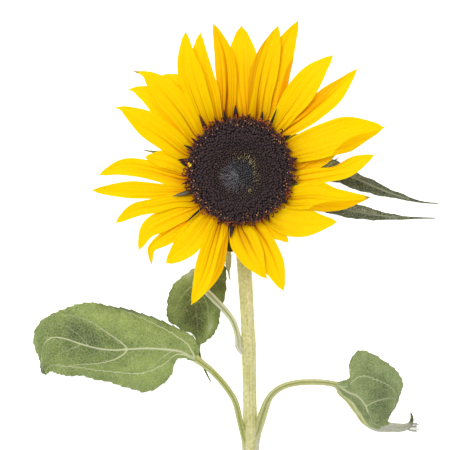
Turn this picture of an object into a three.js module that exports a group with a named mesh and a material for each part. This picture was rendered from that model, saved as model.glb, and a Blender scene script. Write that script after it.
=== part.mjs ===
// A cut sunflower lying on its back, face up, as it rests when it is put down on a table.
// Millimetres and degrees. +Z is up, +Y runs from the cut end of the stem towards the head.
// The places below are measured from the centre of the flower's disc, on the table top; the
// finished group is then moved so that its origin is the middle of its footprint.
import * as THREE from 'three';
import { LoftGeometry } from 'three/addons/geometries/LoftGeometry.js';

// ---------------------------------------------------------------- driving dimensions

const RIM_HEIGHT = 38; // top edge of the receptacle above the table
const RIM_RADIUS = 23.6; // the receptacle at its widest
const DISC_RADIUS = 26.2; // the dome of florets, which overhangs the rim
const DISC_RISE = 8; // how far the dome stands above the receptacle
const GAP = 0.3; // clearance between neighbouring solids

const STEM_RADIUS = 3.5;
const STEM_END = -178; // the cut end
const NECK_BEND = 14; // radius of the nodding bend under the head
const CUT_SLANT = 35; // slant of the knife's cut across the stem

const PETAL_THICKNESS = 0.6;
const PETAL_CLAW = 2.1; // half-width of a petal's foot
const PETAL_FOOT = { radius: RIM_RADIUS + 0.6, height: RIM_HEIGHT - 4.4, perLevel: 1.05, claw: 4 };
const PETAL_LIFT = { lowest: 1, perLevel: 5.5 }; // degrees that a petal climbs as it leaves the rim

const BRACT_THICKNESS = 0.7;
const LEAF_THICKNESS = 0.9;
const LEAF_ARCH = 0.1; // how far each half of a leaf bulges, as a share of its width

// Points round one cross-section of each kind of piece.
const RING = { petal: 8, bract: 8, leaf: 12, stem: 16 };
const DISC_SEGMENTS = 28;

// Petals, clockwise from the top of the head. Angles are anticlockwise from +X about the disc.
// reach is how far the tip is from the middle of the disc, and belly is where along the blade
// it is widest. claw is how wide it already is at its foot, from 0 for a point to about 0.5.
// bends are how far the blade leans to the left of the straight line from foot to
// tip, at even steps between them. level is how far forward a petal sits in the whorls, from 0
// to 3. fold lifts both edges into a trough, roll tips the blade towards its left edge, and
// twist adds to that roll at the tip.
const PETAL = { belly: 0.55, claw: 0.45, bends: [0, 0], fold: 8, roll: 0, twist: 0 };
const PETALS = [
  { foot: 83.5, tip: 89.5, reach: 73, width: 13.2, belly: 0.66, level: 0.2, fold: 4 },
  { foot: 71.5, tip: 75.3, reach: 75, width: 12.2, level: 1.9, bends: [1, 1.3], fold: 12, roll: -4 },
  { foot: 62, tip: 68.9, reach: 80.4, width: 9.8, level: 0.9, bends: [-0.3, 1.8], fold: 10, roll: 8 },
  { foot: 51, tip: 51.1, reach: 74, width: 12, claw: 0.32, level: 2, bends: [1, 2], fold: 6, twist: 6 },
  {
    foot: 41.4, tip: 41, reach: 78, width: 9.8, claw: 0.3, level: 1,
    bends: [-1.6, -2], fold: 16, roll: 10,
  },
  { foot: 21, tip: 16.7, reach: 74.7, width: 16, level: 2.5, bends: [1, 2], roll: 4, twist: -14 },
  { foot: 7.5, tip: 17.5, reach: 56, width: 11, level: 0.2, fold: 4 },
  {
    foot: -6.7, tip: 6.8, reach: 67.5, width: 8.8, claw: 0.35, level: 1.5,
    bends: [-2.6, -3.2], roll: 4, twist: 8,
  },
  {
    foot: -28, tip: -11.5, reach: 66, width: 12, claw: 0.35, belly: 0.38, level: 2.5,
    bends: [-0.8, -1.8], twist: -16,
  },
  {
    foot: -50, tip: -27.8, reach: 54.5, width: 13.4, belly: 0.4, level: 1.4,
    bends: [-2.8, -2.5], fold: 6,
  },
  { foot: -66, tip: -56, reach: 42.6, width: 7.6, level: 0.2, fold: 6 },
  { foot: -76, tip: -69.6, reach: 63.7, width: 11.2, belly: 0.58, level: 1.2, bends: [0.8, 1] },
  {
    foot: -91, tip: -76.3, reach: 54.9, width: 13.2, claw: 0.25, belly: 0.42, level: 2.3,
    bends: [-2.2, -1.8],
  },
  {
    foot: -110.5, tip: -110, reach: 70.6, width: 12.4, claw: 0.2, belly: 0.5, level: 3,
    bends: [0.9, 1.8], fold: 10, twist: 6,
  },
  { foot: -125, tip: -128.7, reach: 58.8, width: 13.2, belly: 0.56, level: 2, bends: [1.4, 1.8] },
  {
    foot: -135, tip: -132.7, reach: 64, width: 5.8, claw: 0.2, belly: 0.5, level: 0.1,
    bends: [-1.1, -2.1, -3.1, -4, -4.6], fold: 10,
  },
  { foot: -141, tip: -142, reach: 64.3, width: 9.6, claw: 0.3, level: 1.1, bends: [-1.5, -3.9, -5.1] },
  {
    foot: -148, tip: -157.2, reach: 67.4, width: 6.6, claw: 0.35, belly: 0.68, level: 2.1,
    bends: [-0.8, -2.1, -3.3],
  },
  {
    foot: -160, tip: -172.6, reach: 74.8, width: 8, claw: 0.15, belly: 0.6, level: 1.1,
    bends: [1.2, 0.3], fold: 10,
  },
  { foot: -172, tip: -178.4, reach: 71, width: 8.8, belly: 0.58, level: 0.1, bends: [-1, -3.7, -4.4] },
  { foot: 176, tip: 171.6, reach: 47.5, width: 8, belly: 0.6, level: 1.8, bends: [-0.5, -1], fold: 6 },
  { foot: 161.6, tip: 151.9, reach: 68, width: 12.4, level: 2.7, bends: [0.2, -0.2] },
  {
    foot: 151, tip: 142.7, reach: 68.5, width: 12, belly: 0.6, level: 1.3,
    bends: [-2, -3.5, -3.8], fold: 6,
  },
  {
    foot: 141, tip: 134.4, reach: 69.5, width: 12, belly: 0.64, level: 2.2,
    bends: [-1, -1.6], fold: 6,
  },
  {
    foot: 131, tip: 130.1, reach: 62.4, width: 12.5, belly: 0.66, level: 0.2,
    bends: [-2.6, -4.4], fold: 4,
  },
  { foot: 124.5, tip: 111.4, reach: 74.1, width: 10.8, level: 3, bends: [2.9, 3.5], fold: 10 },
  { foot: 116.5, tip: 106, reach: 71.8, width: 10.6, level: 1.8, bends: [1.7, 3.2], fold: 8 },
  {
    foot: 104.5, tip: 100.3, reach: 75.2, width: 9.8, level: 0.9,
    bends: [-2, -3.1], fold: 12, roll: 4,
  },
];

// Bracts, clockwise from the top right, in a row just under the petals and a row below it. Each
// row is the angle of its foot, the angle of its tip and the reach of its tip.
const BRACT_ROWS = [
  {
    foot: { radius: RIM_RADIUS - 0.2, height: RIM_HEIGHT - 6.4 },
    halfWidth: 5.2,
    sag: 3,
    bracts: [
      [62, 60, 46],
      [29, 31.2, 42.5],
      [-2, 8.6, 51],
      [-33, -29, 43],
      [-64, -63.5, 38],
      [-97, -96, 41],
      [-133, -139.5, 39],
      [-161, -157.5, 34],
      [-193, -192.5, 51],
      [-226, -222, 40],
      [-260, -262, 40],
    ],
  },
  {
    foot: { radius: RIM_RADIUS - 4.4, height: RIM_HEIGHT - 9.4 },
    halfWidth: 4.4,
    sag: 5.5,
    bracts: [
      [46, 47, 38],
      [14, 18, 38],
      [-17, -10, 48],
      [-48, -45, 36],
      [-80, -82, 36],
      [-113, -116, 37],
      [-146, -150, 36],
      [-177, -169.5, 37],
      [-210, -207, 38],
      [-243, -247, 38],
      [-276, -280, 38],
    ],
  },
];

// Leaves, from the stem outwards. A stalk's or a drawn-out tip's row is x, y, z and radius.
// A blade's row is the midrib's x, y, z, the left margin's, the right margin's, and its thickness,
// where that isn't the usual. Left and right are as seen from above, looking towards the tip.
const LEAVES = {
  leaf_lower_left: {
    stalk: [
      [0.5, -145, 4, 1],
      [0.2, -138, 5, 1.6],
      [-0.2, -129, 6.8, 1.6],
      [-2, -118.8, 9.2, 1.6],
      [-7.4, -109.8, 11.4, 1.6],
      [-14.6, -101.8, 12.4, 1.6],
      [-20, -97.6, 12.2, 1.8],
    ],
    blade: [
      [-24, -95.3, 11.8, -24.3, -97.2, 11.6, -22.7, -91.7, 11, 1.2],
      [-28.5, -92.8, 11.2, -29.5, -95.6, 10.6, -25.5, -84.8, 9],
      [-33, -91.6, 10.6, -33.2, -97.5, 8.6, -30.7, -81.2, 7.8],
      [-37.5, -91.1, 10.2, -34.8, -103.5, 5.2, -36, -78.3, 7],
      [-43, -90.7, 9.9, -40.5, -109.8, 3.2, -43.5, -75.3, 6.2],
      [-50, -90.6, 9.8, -50.5, -113.9, 2, -51.5, -72.8, 5.4],
      [-57, -91, 9.8, -58, -111.7, 2, -60, -70.3, 4.6],
      [-65, -91.4, 9.6, -66, -108.6, 2.4, -70, -68.4, 4],
      [-73, -90.6, 9.2, -75, -106.8, 2.6, -78, -67.2, 3.6],
      [-81, -88.6, 8.6, -83.5, -105, 2.4, -87, -69, 3.4],
      [-89, -86, 7.8, -90.5, -104.2, 2.2, -96, -72.4, 3.2],
      [-95.5, -85, 7, -94.5, -103.4, 2, -104, -78.4, 3],
      [-100, -87.2, 6, -97, -102.9, 1.9, -107.3, -86.2, 2.8],
      [-102, -92, 4.6, -98.8, -103, 1.7, -105.8, -93, 2.4],
      [-102.4, -97.8, 3, -100, -104, 1.6, -104, -98.4, 2],
      [-102.2, -104.2, 1.5, -101.2, -104.8, 1.4, -102.8, -104.2, 1.4],
    ],
    tail: [],
  },
  leaf_lower_right: {
    stalk: [
      [10.6, -141, 4.2, 1],
      [11.9, -134, 5.2, 2.1],
      [12.4, -126, 7.2, 2.4],
      [14.6, -117.4, 10.2, 1.9],
      [20.6, -111, 13.6, 1.7],
      [29.5, -108.1, 16.2, 1.6],
      [39, -107.6, 17.4, 1.6],
      [45.4, -108, 17.2, 1.6],
    ],
    blade: [
      [49.5, -108.9, 16.8, 50.5, -107.2, 16.6, 48.5, -110.6, 16.2, 1.2],
      [52.5, -110.9, 16.4, 57, -104.6, 14.6, 50.2, -113.8, 13.2],
      [55, -112.5, 16, 55.6, -99.6, 12.6, 52.4, -115.8, 10],
      [57.5, -113.6, 15.4, 57.5, -94.6, 11, 54.6, -118, 7.4],
      [60, -114.9, 14.8, 62, -91.4, 9.6, 56.4, -120.4, 5.6],
      [62, -116.6, 14, 69, -94, 8, 58, -122.8, 4.4],
      [63.6, -118.8, 13, 76, -98.6, 6.8, 59.6, -125, 3.4],
      [65, -121.4, 11.6, 81.6, -102.8, 5.8, 61.4, -127.4, 2.8],
      [66.2, -124, 10, 84.2, -108, 5, 63.4, -129.7, 2.4],
      [67.2, -126.4, 8.4, 83, -114.2, 4.4, 65.6, -131.6, 2.2],
      [68.4, -128.4, 7, 80, -120, 4, 68, -133, 2],
      [70.4, -130, 5.8, 76.6, -125.4, 3.6, 71, -134.2, 2, 1.4],
      [74, -131.2, 4.6, 77, -128.8, 3.4, 75, -134.5, 2, 2.4],
    ],
    tail: [
      [79.5, -132.1, 2.9, 2.4],
      [84.8, -132.2, 2.4, 2.1],
      [88.4, -130.9, 2.2, 1.5],
      [89.7, -127.8, 2.2, 0.9],
      [89, -124.4, 2.8, 0.3],
    ],
  },
  leaf_middle_left: {
    stalk: [
      [-0.9, -89.4, 4.3, 1.1],
      [-1.6, -83.5, 6.2, 1.7],
      [-3.6, -76.6, 9, 1.9],
      [-7.6, -70.8, 11.8, 2],
      [-12.6, -65.6, 14, 2],
      [-17.6, -60.4, 15.2, 2],
      [-21.6, -56.6, 15.2, 1.8],
      [-24.6, -55.8, 13.9, 1.4],
    ],
    blade: [
      [-25.6, -57.8, 12.2, -24.2, -57, 12, -27, -57.6, 11.8, 1.8],
      [-24.6, -60.8, 11, -16, -49, 9.6, -26.4, -51.4, 9.2],
      [-23.6, -64, 10, -8.4, -47.4, 7.6, -33.6, -56.8, 7],
      [-22.8, -68, 9, -6.8, -55.4, 6.4, -37, -64.6, 5.6],
      [-22.2, -72, 8.2, -7.8, -64.6, 5.6, -37.7, -71.4, 4.6],
      [-21.9, -76, 7.4, -9.8, -73.3, 5, -36.4, -77, 3.6],
      [-21.6, -80, 6.6, -11.6, -80.2, 4.4, -31.8, -80.4, 3.2],
      [-21.4, -84, 5.6, -15, -86, 3.8, -26, -82.2, 3],
      [-21.4, -87.6, 4.6, -19.4, -88, 3.4, -22.6, -86.6, 3],
    ],
    tail: [
      [-21.2, -92, 3.2, 0.8],
      [-19.8, -98, 2, 0.7],
      [-17.4, -103.6, 1.4, 0.5],
      [-14.9, -108.6, 1, 0.3],
    ],
  },
  leaf_upper_right: {
    stalk: [
      [5.6, -19, 4.6, 1.3],
      [13.5, -12, 7.2, 1.5],
      [21, -7, 8.8, 1.4],
    ],
    blade: [
      [27, -4, 9.2, 26.5, -2.4, 9, 27.5, -5.6, 9, 1.4],
      [34, -1.2, 9.4, 33, 2.6, 8.6, 35, -5.4, 8.2],
      [41, 1, 9.2, 40, 5.2, 8, 42.5, -4.6, 7],
      [48, 1.4, 8.4, 47.5, 7.4, 6.8, 49.5, -4.6, 5.8],
      [55, -0.8, 7.4, 55.5, 3, 5.6, 55, -6.6, 4.8],
      [62, -3.8, 6.2, 63.5, -1, 4.4, 61.8, -9.1, 3.8],
      [70, -7.2, 5, 71.5, -4.8, 3.4, 69.5, -11, 3],
      [78, -10.4, 3.8, 79.4, -8.8, 2.6, 77.4, -12.6, 2.4],
      [86, -13.2, 2.6, 86.8, -12.3, 2, 85.6, -14.2, 1.9],
    ],
    tail: [
      [93.5, -15.1, 1.5, 0.5],
      [101, -15.6, 0.8, 0.3],
    ],
  },
  leaf_upper_right_small: {
    stalk: [
      [5.9, -28, 4.4, 1.1],
      [14, -23, 5.6, 1.2],
      [21, -19.4, 6.4, 1.2],
    ],
    blade: [
      [28, -17.2, 6.8, 28, -15.8, 6.6, 28, -18.6, 6.6, 1.2],
      [36, -15.6, 7, 36, -12.8, 6.4, 36, -18.2, 6],
      [44, -16, 6.8, 44.5, -12, 5.8, 43.5, -20, 5],
      [52, -18, 6.2, 53, -13.8, 5, 51.6, -22.2, 4],
      [60, -19.8, 5.4, 61, -16, 4, 59.6, -23.6, 3.2],
      [68, -21.3, 4.4, 69, -18.6, 3.2, 67.6, -24.3, 2.6],
      [76, -22.4, 3.2, 76.8, -20.8, 2.4, 75.8, -24.4, 2.1],
      [84, -23, 2.2, 84.4, -22.3, 1.8, 84, -24.2, 1.6],
    ],
    tail: [
      [92, -23.3, 1.2, 0.5],
      [99.7, -23.4, 0.8, 0.3],
    ],
  },
  leaf_small: {
    stalk: [
      [-4, -30, 7, 0.8],
      [-4.9, -36, 8.4, 0.9],
    ],
    blade: [
      [-5.4, -40.4, 9, -4.4, -40.4, 8.6, -6.4, -40.4, 8.6],
      [-5.6, -44, 9, -4.2, -44, 8.4, -7, -44, 8.2],
      [-5.8, -48.4, 8.6, -4.5, -48.4, 8, -7.1, -48.4, 8],
    ],
    tail: [
      [-5.6, -51.4, 8, 0.5],
      [-4.9, -55.2, 7.2, 0.3],
    ],
  },
};

// ---------------------------------------------------------------- materials

const finish = (color, roughness) =>
  new THREE.MeshStandardMaterial({ color, roughness, metalness: 0 });
const MATERIALS = {
  petal: finish(0xffd000, 0.55),
  floret: finish(0x33222a, 0.9),
  stem: finish(0xc6cc8a, 0.8),
  leaf: finish(0x86a35e, 0.75),
  bract: finish(0x7f9166, 0.8),
};

// ---------------------------------------------------------------- helpers

const radians = THREE.MathUtils.degToRad;
const { lerp, smoothstep } = THREE.MathUtils;
const UP = new THREE.Vector3(0, 0, 1);
const LEFT = new THREE.Vector3(-1, 0, 0);
const twoDigits = (number) => String(number).padStart(2, '0');

function polar(radius, degrees, z) {
  const angle = radians(degrees);
  return new THREE.Vector3(radius * Math.cos(angle), radius * Math.sin(angle), z);
}

// Reads a table of rows smoothly, at t from 0 at its first row to 1 at its last.
function smoothTable(rows) {
  const places = rows.map((_, i) => i / (rows.length - 1));
  const reader = new THREE.CubicInterpolant(places, rows.flat(), rows[0].length);
  return (t) => [...reader.evaluate(t)];
}

// The directions along, across (to the left) and out of a spine at t.
function directions(spine, t) {
  const step = 1e-3;
  const along = spine(Math.min(1, t + step)).sub(spine(Math.max(0, t - step))).normalize();
  const across = new THREE.Vector3().crossVectors(UP, along).normalize();
  return { along, across, out: new THREE.Vector3().crossVectors(along, across) };
}

// The angles of the points round one cross-section. They start at the left and go over the top.
const ringAngles = (count) => Array.from({ length: count }, (_, k) => (2 * Math.PI * k) / count);

// One ring of points round a blade, from its midrib and its two margins.
function bladeRing(count, { middle, left, right, out, thickness }, arch = 0) {
  return ringAngles(count).map((angle) => {
    const share = Math.abs(Math.cos(angle));
    const margin = Math.cos(angle) > 0 ? left : right;
    const bulge = arch * margin.distanceTo(middle) * 4 * share * (1 - share);
    const height = bulge + (thickness / 2) * Math.sin(angle);
    return middle.clone().lerp(margin, share).addScaledVector(out, height);
  });
}

// A symmetrical section: how far its margins reach, and how steeply they rise or fall.
function evenSection(middle, { across, out }, { reach, thickness, leftSlope = 0, rightSlope = 0 }) {
  const margin = (side, slope) =>
    middle
      .clone()
      .addScaledVector(across, side * reach * Math.cos(radians(slope)))
      .addScaledVector(out, reach * Math.sin(radians(slope)));
  return { middle, left: margin(1, leftSlope), right: margin(-1, rightSlope), out, thickness };
}

// A closed skin over rings of points, drawn to a point in the middle of its first and last ring.
function closedLoft(rings) {
  const point = (ring) => {
    const middle = new THREE.Vector3();
    for (const place of ring) middle.addScaledVector(place, 1 / ring.length);
    return Array(ring.length).fill(middle);
  };
  return new LoftGeometry([point(rings[0]), ...rings, point(rings.at(-1))]);
}

function piece(name, geometry, material) {
  const mesh = new THREE.Mesh(geometry, material);
  mesh.name = name;
  return mesh;
}

// ---------------------------------------------------------------- stem and receptacle

// One grown piece: the stem from its cut end, its bent neck, and the cup that the neck widens into.
function stem() {
  const axisHeight = STEM_RADIUS;
  // x, y, z and radius along the stem, with a slight swelling where each leaf leaves it
  const along = smoothTable([
    [6.6, STEM_END, axisHeight, STEM_RADIUS],
    [6.3, -160, axisHeight, STEM_RADIUS],
    [5.9, -144, axisHeight + 0.1, STEM_RADIUS + 0.1],
    [5.7, -134, axisHeight + 0.3, STEM_RADIUS + 0.3],
    [5.4, -122, axisHeight, STEM_RADIUS],
    [5.1, -104, axisHeight, STEM_RADIUS],
    [4.8, -90, axisHeight + 0.3, STEM_RADIUS + 0.3],
    [4.4, -80, axisHeight, STEM_RADIUS],
    [3.4, -62, axisHeight + 0.1, STEM_RADIUS + 0.1],
    [2.3, -45, axisHeight + 0.2, STEM_RADIUS + 0.2],
    [1.0, -28, axisHeight + 0.2, STEM_RADIUS + 0.2],
    [0.2, -NECK_BEND, axisHeight + 0.3, STEM_RADIUS + 0.3],
  ]);
  const ring = (centre, radius, lean, slant = 0) =>
    Array.from({ length: RING.stem }, (_, k) => {
      const angle = (2 * Math.PI * k) / RING.stem;
      const out = new THREE.Vector3(0, -Math.sin(lean), Math.cos(lean));
      return centre
        .clone()
        .addScaledVector(LEFT, radius * Math.cos(angle))
        .addScaledVector(out, radius * Math.sin(angle))
        .add(new THREE.Vector3(0, slant * radius * Math.sin(angle), 0));
    });

  const rings = [];
  const straightRings = 17;
  for (let i = 0; i < straightRings; i++) {
    const [x, y, z, radius] = along(i / (straightRings - 1));
    rings.push(ring(new THREE.Vector3(x, y, z), radius, 0, i === 0 ? Math.tan(radians(CUT_SLANT)) : 0));
  }
  const neckRings = 5;
  const neckRadius = STEM_RADIUS + 0.3;
  const bendCentre = new THREE.Vector3(0.2, -NECK_BEND, neckRadius + NECK_BEND);
  for (let i = 1; i <= neckRings; i++) {
    const turn = (Math.PI / 2) * (i / neckRings);
    const arm = new THREE.Vector3(0, Math.sin(turn), -Math.cos(turn));
    rings.push(ring(bendCentre.clone().addScaledVector(arm, NECK_BEND), neckRadius + 0.12 * i, turn));
  }
  // the cup: height and radius of each ring from the neck up to the rim
  const cup = [
    [20.5, 5.4],
    [23.5, 8.6],
    [27, 14],
    [30.5, 19],
    [33, 22],
    [35.2, RIM_RADIUS],
    [RIM_HEIGHT, RIM_RADIUS],
  ];
  for (const [height, radius] of cup) {
    rings.push(ring(new THREE.Vector3(0, 0, height), radius, Math.PI / 2));
  }
  return piece('stem', closedLoft(rings), MATERIALS.stem);
}

// ---------------------------------------------------------------- disc

// The packed florets as one low dome with a hollow middle, standing on the receptacle.
function disc() {
  const floor = RIM_HEIGHT + GAP;
  const profile = [
    [0, 0],
    [RIM_RADIUS - 0.5, 0],
    [DISC_RADIUS - 0.6, 0.9],
    [DISC_RADIUS, 2.6],
    [DISC_RADIUS - 1.2, 5],
    [DISC_RADIUS * 0.83, DISC_RISE - 0.9],
    [DISC_RADIUS * 0.62, DISC_RISE],
    [DISC_RADIUS * 0.4, DISC_RISE - 0.6],
    [DISC_RADIUS * 0.2, DISC_RISE - 1.6],
    [0, DISC_RISE - 2],
  ].map(([x, y]) => new THREE.Vector2(x, y));
  const mesh = piece('disc_florets', new THREE.LatheGeometry(profile, DISC_SEGMENTS), MATERIALS.floret);
  mesh.rotation.x = Math.PI / 2; // the lathe turns about +Y, and the disc faces +Z
  mesh.position.z = floor;
  return mesh;
}

// ---------------------------------------------------------------- petals

// Half-width of a petal at t, as a share of its greatest: a foot, a belly and a point.
function petalOutline(t, belly, claw) {
  const taper = t > belly ? 1 - ((t - belly) / (1 - belly)) ** 1.85 : 1;
  return smoothstep(t, -claw, belly * 0.85) * taper;
}

// A petal leaves the rim straight outwards, and then takes its own way to its tip.
function petal(own, index) {
  const { foot, tip, reach, width, belly, claw, bends, level, fold, roll, twist } = { ...PETAL, ...own };
  const footHeight = PETAL_FOOT.height + PETAL_FOOT.perLevel * level;
  const start = polar(PETAL_FOOT.radius, foot, footHeight);
  const end = polar(reach, tip, footHeight);
  const chord = end.clone().sub(start);
  const toLeft = new THREE.Vector3().crossVectors(UP, chord).normalize();
  const bent = (bend, i) =>
    start.clone().addScaledVector(chord, (i + 1) / (bends.length + 1)).addScaledVector(toLeft, bend);
  const plan = new THREE.CatmullRomCurve3([
    start,
    polar(PETAL_FOOT.radius + PETAL_FOOT.claw, foot, footHeight),
    ...bends.map(bent),
    end,
  ]);
  const lift = Math.tan(radians(PETAL_LIFT.lowest + PETAL_LIFT.perLevel * level));
  const spine = (t) => {
    const place = plan.getPointAt(t);
    place.z += chord.length() * lift * (t - 0.35 * t ** 2.2);
    return place;
  };
  const steps = 11;
  const rings = Array.from({ length: steps + 1 }, (_, i) => {
    const t = (0.985 * i) / steps;
    const halfWidth = Math.max(PETAL_CLAW * (1 - t), (width / 2) * petalOutline(t, belly, claw));
    const lean = roll * smoothstep(t, 0, 0.5) + twist * smoothstep(t, 0.4, 1);
    const trough = fold * smoothstep(t, 0.02, 0.3);
    const shape = {
      reach: halfWidth,
      thickness: PETAL_THICKNESS,
      leftSlope: trough - lean,
      rightSlope: trough + lean,
    };
    return bladeRing(RING.petal, evenSection(spine(t), directions(spine, t), shape));
  });
  return piece(`petal_${twoDigits(index + 1)}`, closedLoft(rings), MATERIALS.petal);
}

// ---------------------------------------------------------------- bracts

// The green scales behind the petals, each with a long thin point.
function bract({ foot, halfWidth, sag }, [footAngle, tipAngle, reach]) {
  const spine = (t) => {
    const angle = lerp(footAngle, tipAngle, t * t);
    return polar(lerp(foot.radius, reach, t), angle, foot.height - sag * t * lerp(0.4, 1, t));
  };
  const steps = 7;
  const rings = Array.from({ length: steps + 1 }, (_, i) => {
    const t = (0.985 * i) / steps;
    const outline = lerp(0.8, 1, smoothstep(t, 0, 0.25)) * (1 - smoothstep(t, 0.1, 0.95));
    const shape = {
      reach: Math.max(0.35, halfWidth * outline),
      thickness: BRACT_THICKNESS,
      leftSlope: 8,
      rightSlope: 8,
    };
    return bladeRing(RING.bract, evenSection(spine(t), directions(spine, t), shape));
  });
  return closedLoft(rings);
}

function bracts() {
  const shapes = BRACT_ROWS.flatMap((row) => row.bracts.map((own) => bract(row, own)));
  return shapes.map((shape, i) => piece(`bract_${twoDigits(i + 1)}`, shape, MATERIALS.bract));
}

// ---------------------------------------------------------------- leaves

// A leaf and its stalk, which grew as one piece.
function leaf(name, { stalk, blade, tail }) {
  // the stalk and the drawn-out tip, written as a blade is: a midrib, two margins and a thickness
  const places = [...stalk, ...blade, ...tail].map(([x, y, z]) => new THREE.Vector3(x, y, z));
  const asBlade = ([x, y, z, radius], i) => {
    const along = places[Math.min(i + 1, places.length - 1)].clone().sub(places[Math.max(i - 1, 0)]);
    const aside = new THREE.Vector3().crossVectors(UP, along).setLength(radius);
    return [x, y, z, x + aside.x, y + aside.y, z, x - aside.x, y - aside.y, z, 2 * radius];
  };
  const tailStart = stalk.length + blade.length;
  const rows = [
    ...stalk.map(asBlade),
    ...blade.map((row) => (row.length === 10 ? row : [...row, LEAF_THICKNESS])),
    ...tail.map((row, i) => asBlade(row, tailStart + i)),
  ];

  const read = smoothTable(rows);
  const spine = (t) => new THREE.Vector3(...read(t).slice(0, 3));
  const steps = Math.round((rows.length - 1) * 1.6);
  const rings = Array.from({ length: steps + 1 }, (_, i) => {
    const t = i / steps;
    const numbers = read(t);
    const left = new THREE.Vector3(...numbers.slice(3, 6));
    const right = new THREE.Vector3(...numbers.slice(6, 9));
    const out = directions(spine, t).along.cross(left.clone().sub(right).normalize()).normalize();
    return bladeRing(RING.leaf, { middle: spine(t), left, right, out, thickness: numbers[9] }, LEAF_ARCH);
  });
  return piece(name, closedLoft(rings), MATERIALS.leaf);
}

// ---------------------------------------------------------------- the flower

const flower = new THREE.Group();
flower.add(stem(), disc());
flower.add(...PETALS.map(petal));
flower.add(...bracts());
flower.add(...Object.entries(LEAVES).map(([name, rows]) => leaf(name, rows)));

const extent = new THREE.Box3().setFromObject(flower);
const middle = extent.getCenter(new THREE.Vector3());
flower.position.set(-middle.x, -middle.y, -extent.min.z);

export default flower;
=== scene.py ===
# %% [markdown]
# # A cut sunflower on a table
#
# A sunflower head is hundreds of small flowers on one green cup. The yellow petals are the outer
# flowers, and the dark disc is all the others, packed in spirals. This lesson dresses a plain
# model of one with real surfaces: pleated petals, veined leaves, a ribbed hairy stem and a disc
# whose florets are all there. Every blade and the stem are made from the plain model's own
# points, and the florets are placed by its disc, so all of it stays where the plain model is.

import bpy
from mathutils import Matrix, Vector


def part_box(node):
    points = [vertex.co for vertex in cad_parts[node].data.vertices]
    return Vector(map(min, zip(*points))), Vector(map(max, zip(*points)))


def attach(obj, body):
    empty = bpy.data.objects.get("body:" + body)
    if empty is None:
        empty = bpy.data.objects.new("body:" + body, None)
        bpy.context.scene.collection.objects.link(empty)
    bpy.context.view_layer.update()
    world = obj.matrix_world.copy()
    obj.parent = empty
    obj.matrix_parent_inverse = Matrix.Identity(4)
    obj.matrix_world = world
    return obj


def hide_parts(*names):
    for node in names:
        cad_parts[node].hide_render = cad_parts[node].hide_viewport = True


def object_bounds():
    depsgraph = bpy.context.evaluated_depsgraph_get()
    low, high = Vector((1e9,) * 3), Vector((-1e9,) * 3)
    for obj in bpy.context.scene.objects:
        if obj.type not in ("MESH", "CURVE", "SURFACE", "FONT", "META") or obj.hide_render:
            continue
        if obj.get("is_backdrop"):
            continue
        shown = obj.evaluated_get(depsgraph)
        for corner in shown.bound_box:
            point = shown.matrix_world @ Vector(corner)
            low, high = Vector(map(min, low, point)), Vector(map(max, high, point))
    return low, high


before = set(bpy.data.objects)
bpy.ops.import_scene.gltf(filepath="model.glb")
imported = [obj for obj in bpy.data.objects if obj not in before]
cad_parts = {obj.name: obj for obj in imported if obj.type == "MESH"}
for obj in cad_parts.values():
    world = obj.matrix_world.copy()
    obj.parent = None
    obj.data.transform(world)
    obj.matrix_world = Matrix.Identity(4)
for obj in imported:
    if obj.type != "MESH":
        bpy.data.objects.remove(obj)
cad_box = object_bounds()
print("plain model:", len(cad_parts), "pieces")

# %% [markdown]
# ## Units, landmarks and small helpers
#
# Blender works in metres, and a flower is easier to think about in millimetres, so `MM` turns
# one into the other. The middle of the disc is the natural landmark for everything on the head.
# Four small helpers are used all through: most of a plant's forms fade in, fade out or swell
# somewhere, which `ease` and `bell` describe.

# %% Units and landmarks
import math
from types import SimpleNamespace

import bpy
import numpy as np

MM = 0.001
UP = np.array([0.0, 0.0, 1.0])
disc_low, disc_high = (np.array(corner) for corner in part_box("disc_florets"))
head = np.array([*(disc_low + disc_high)[:2] / 2, disc_low[2]])
disc_radius = (disc_high[0] - disc_low[0]) / 2
disc_rise = disc_high[2] - disc_low[2]
print("middle of the head:", head.round(4), "disc radius:", round(disc_radius, 4))


# %% Small helpers
def unit(vectors):
    """The same directions with a length of 1."""
    return vectors / np.linalg.norm(vectors, axis=-1, keepdims=True)


def level(turn, height=0.0):
    """Directions on the level at angles in radians, or rising by a height."""
    return np.stack([np.cos(turn), np.sin(turn), np.full_like(turn, height)], axis=-1)


def ease(x, low, high):
    """0 below low, 1 above high, and smooth between them."""
    t = np.clip((np.asarray(x) - low) / (high - low), 0, 1)
    return t * t * (3 - 2 * t)


def bell(x, middle, width):
    """1 at the middle and less to both sides, until it is nearly 0 two widths away."""
    return np.exp(-(((x - middle) / width) ** 2))


print("half way up, ease gives", ease(0.5, 0, 1), "and bell", round(bell(1, 0, 1), 2), "a width away")

# %% [markdown]
# ## Reading a piece back from the plain model
#
# Each petal, leaf and stem of the plain model is a skin over rings of points, closed by a single
# point at each end. The mesh lost the order of its points when it was saved. It can be found
# again: the two end points are the only ones whose neighbours all have five neighbours, and the
# rings are then the points one step away from the foot, two steps away, and so on. A ring's
# point has exactly one neighbour ahead that it shares with the next point of its own ring, which
# carries the numbering from each ring to the next. Rings that turn out to start at the tip are
# turned round.

# %% Points and neighbours of a piece
def welded(node):
    """A node's points, each once, and the numbers of the points that each shares an edge with."""
    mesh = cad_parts[node].data
    numbers, neighbours, merged = {}, [], []
    for vertex in mesh.vertices:
        place = tuple(vertex.co)
        if place not in numbers:
            numbers[place] = len(numbers)
            neighbours.append(set())
        merged.append(numbers[place])
    for face in mesh.polygons:
        corners = [merged[v] for v in face.vertices]
        for one, other in zip(corners, corners[1:] + corners[:1]):
            if one != other:
                neighbours[one].add(other)
                neighbours[other].add(one)
    return np.array(list(numbers)), neighbours


# %% Rings of a piece, from its foot to its tip
def from_head(place):
    """How far a place is from the middle of the head, for finding the foot of what grows on it."""
    return np.hypot(*(place - head)[:2])


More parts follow.
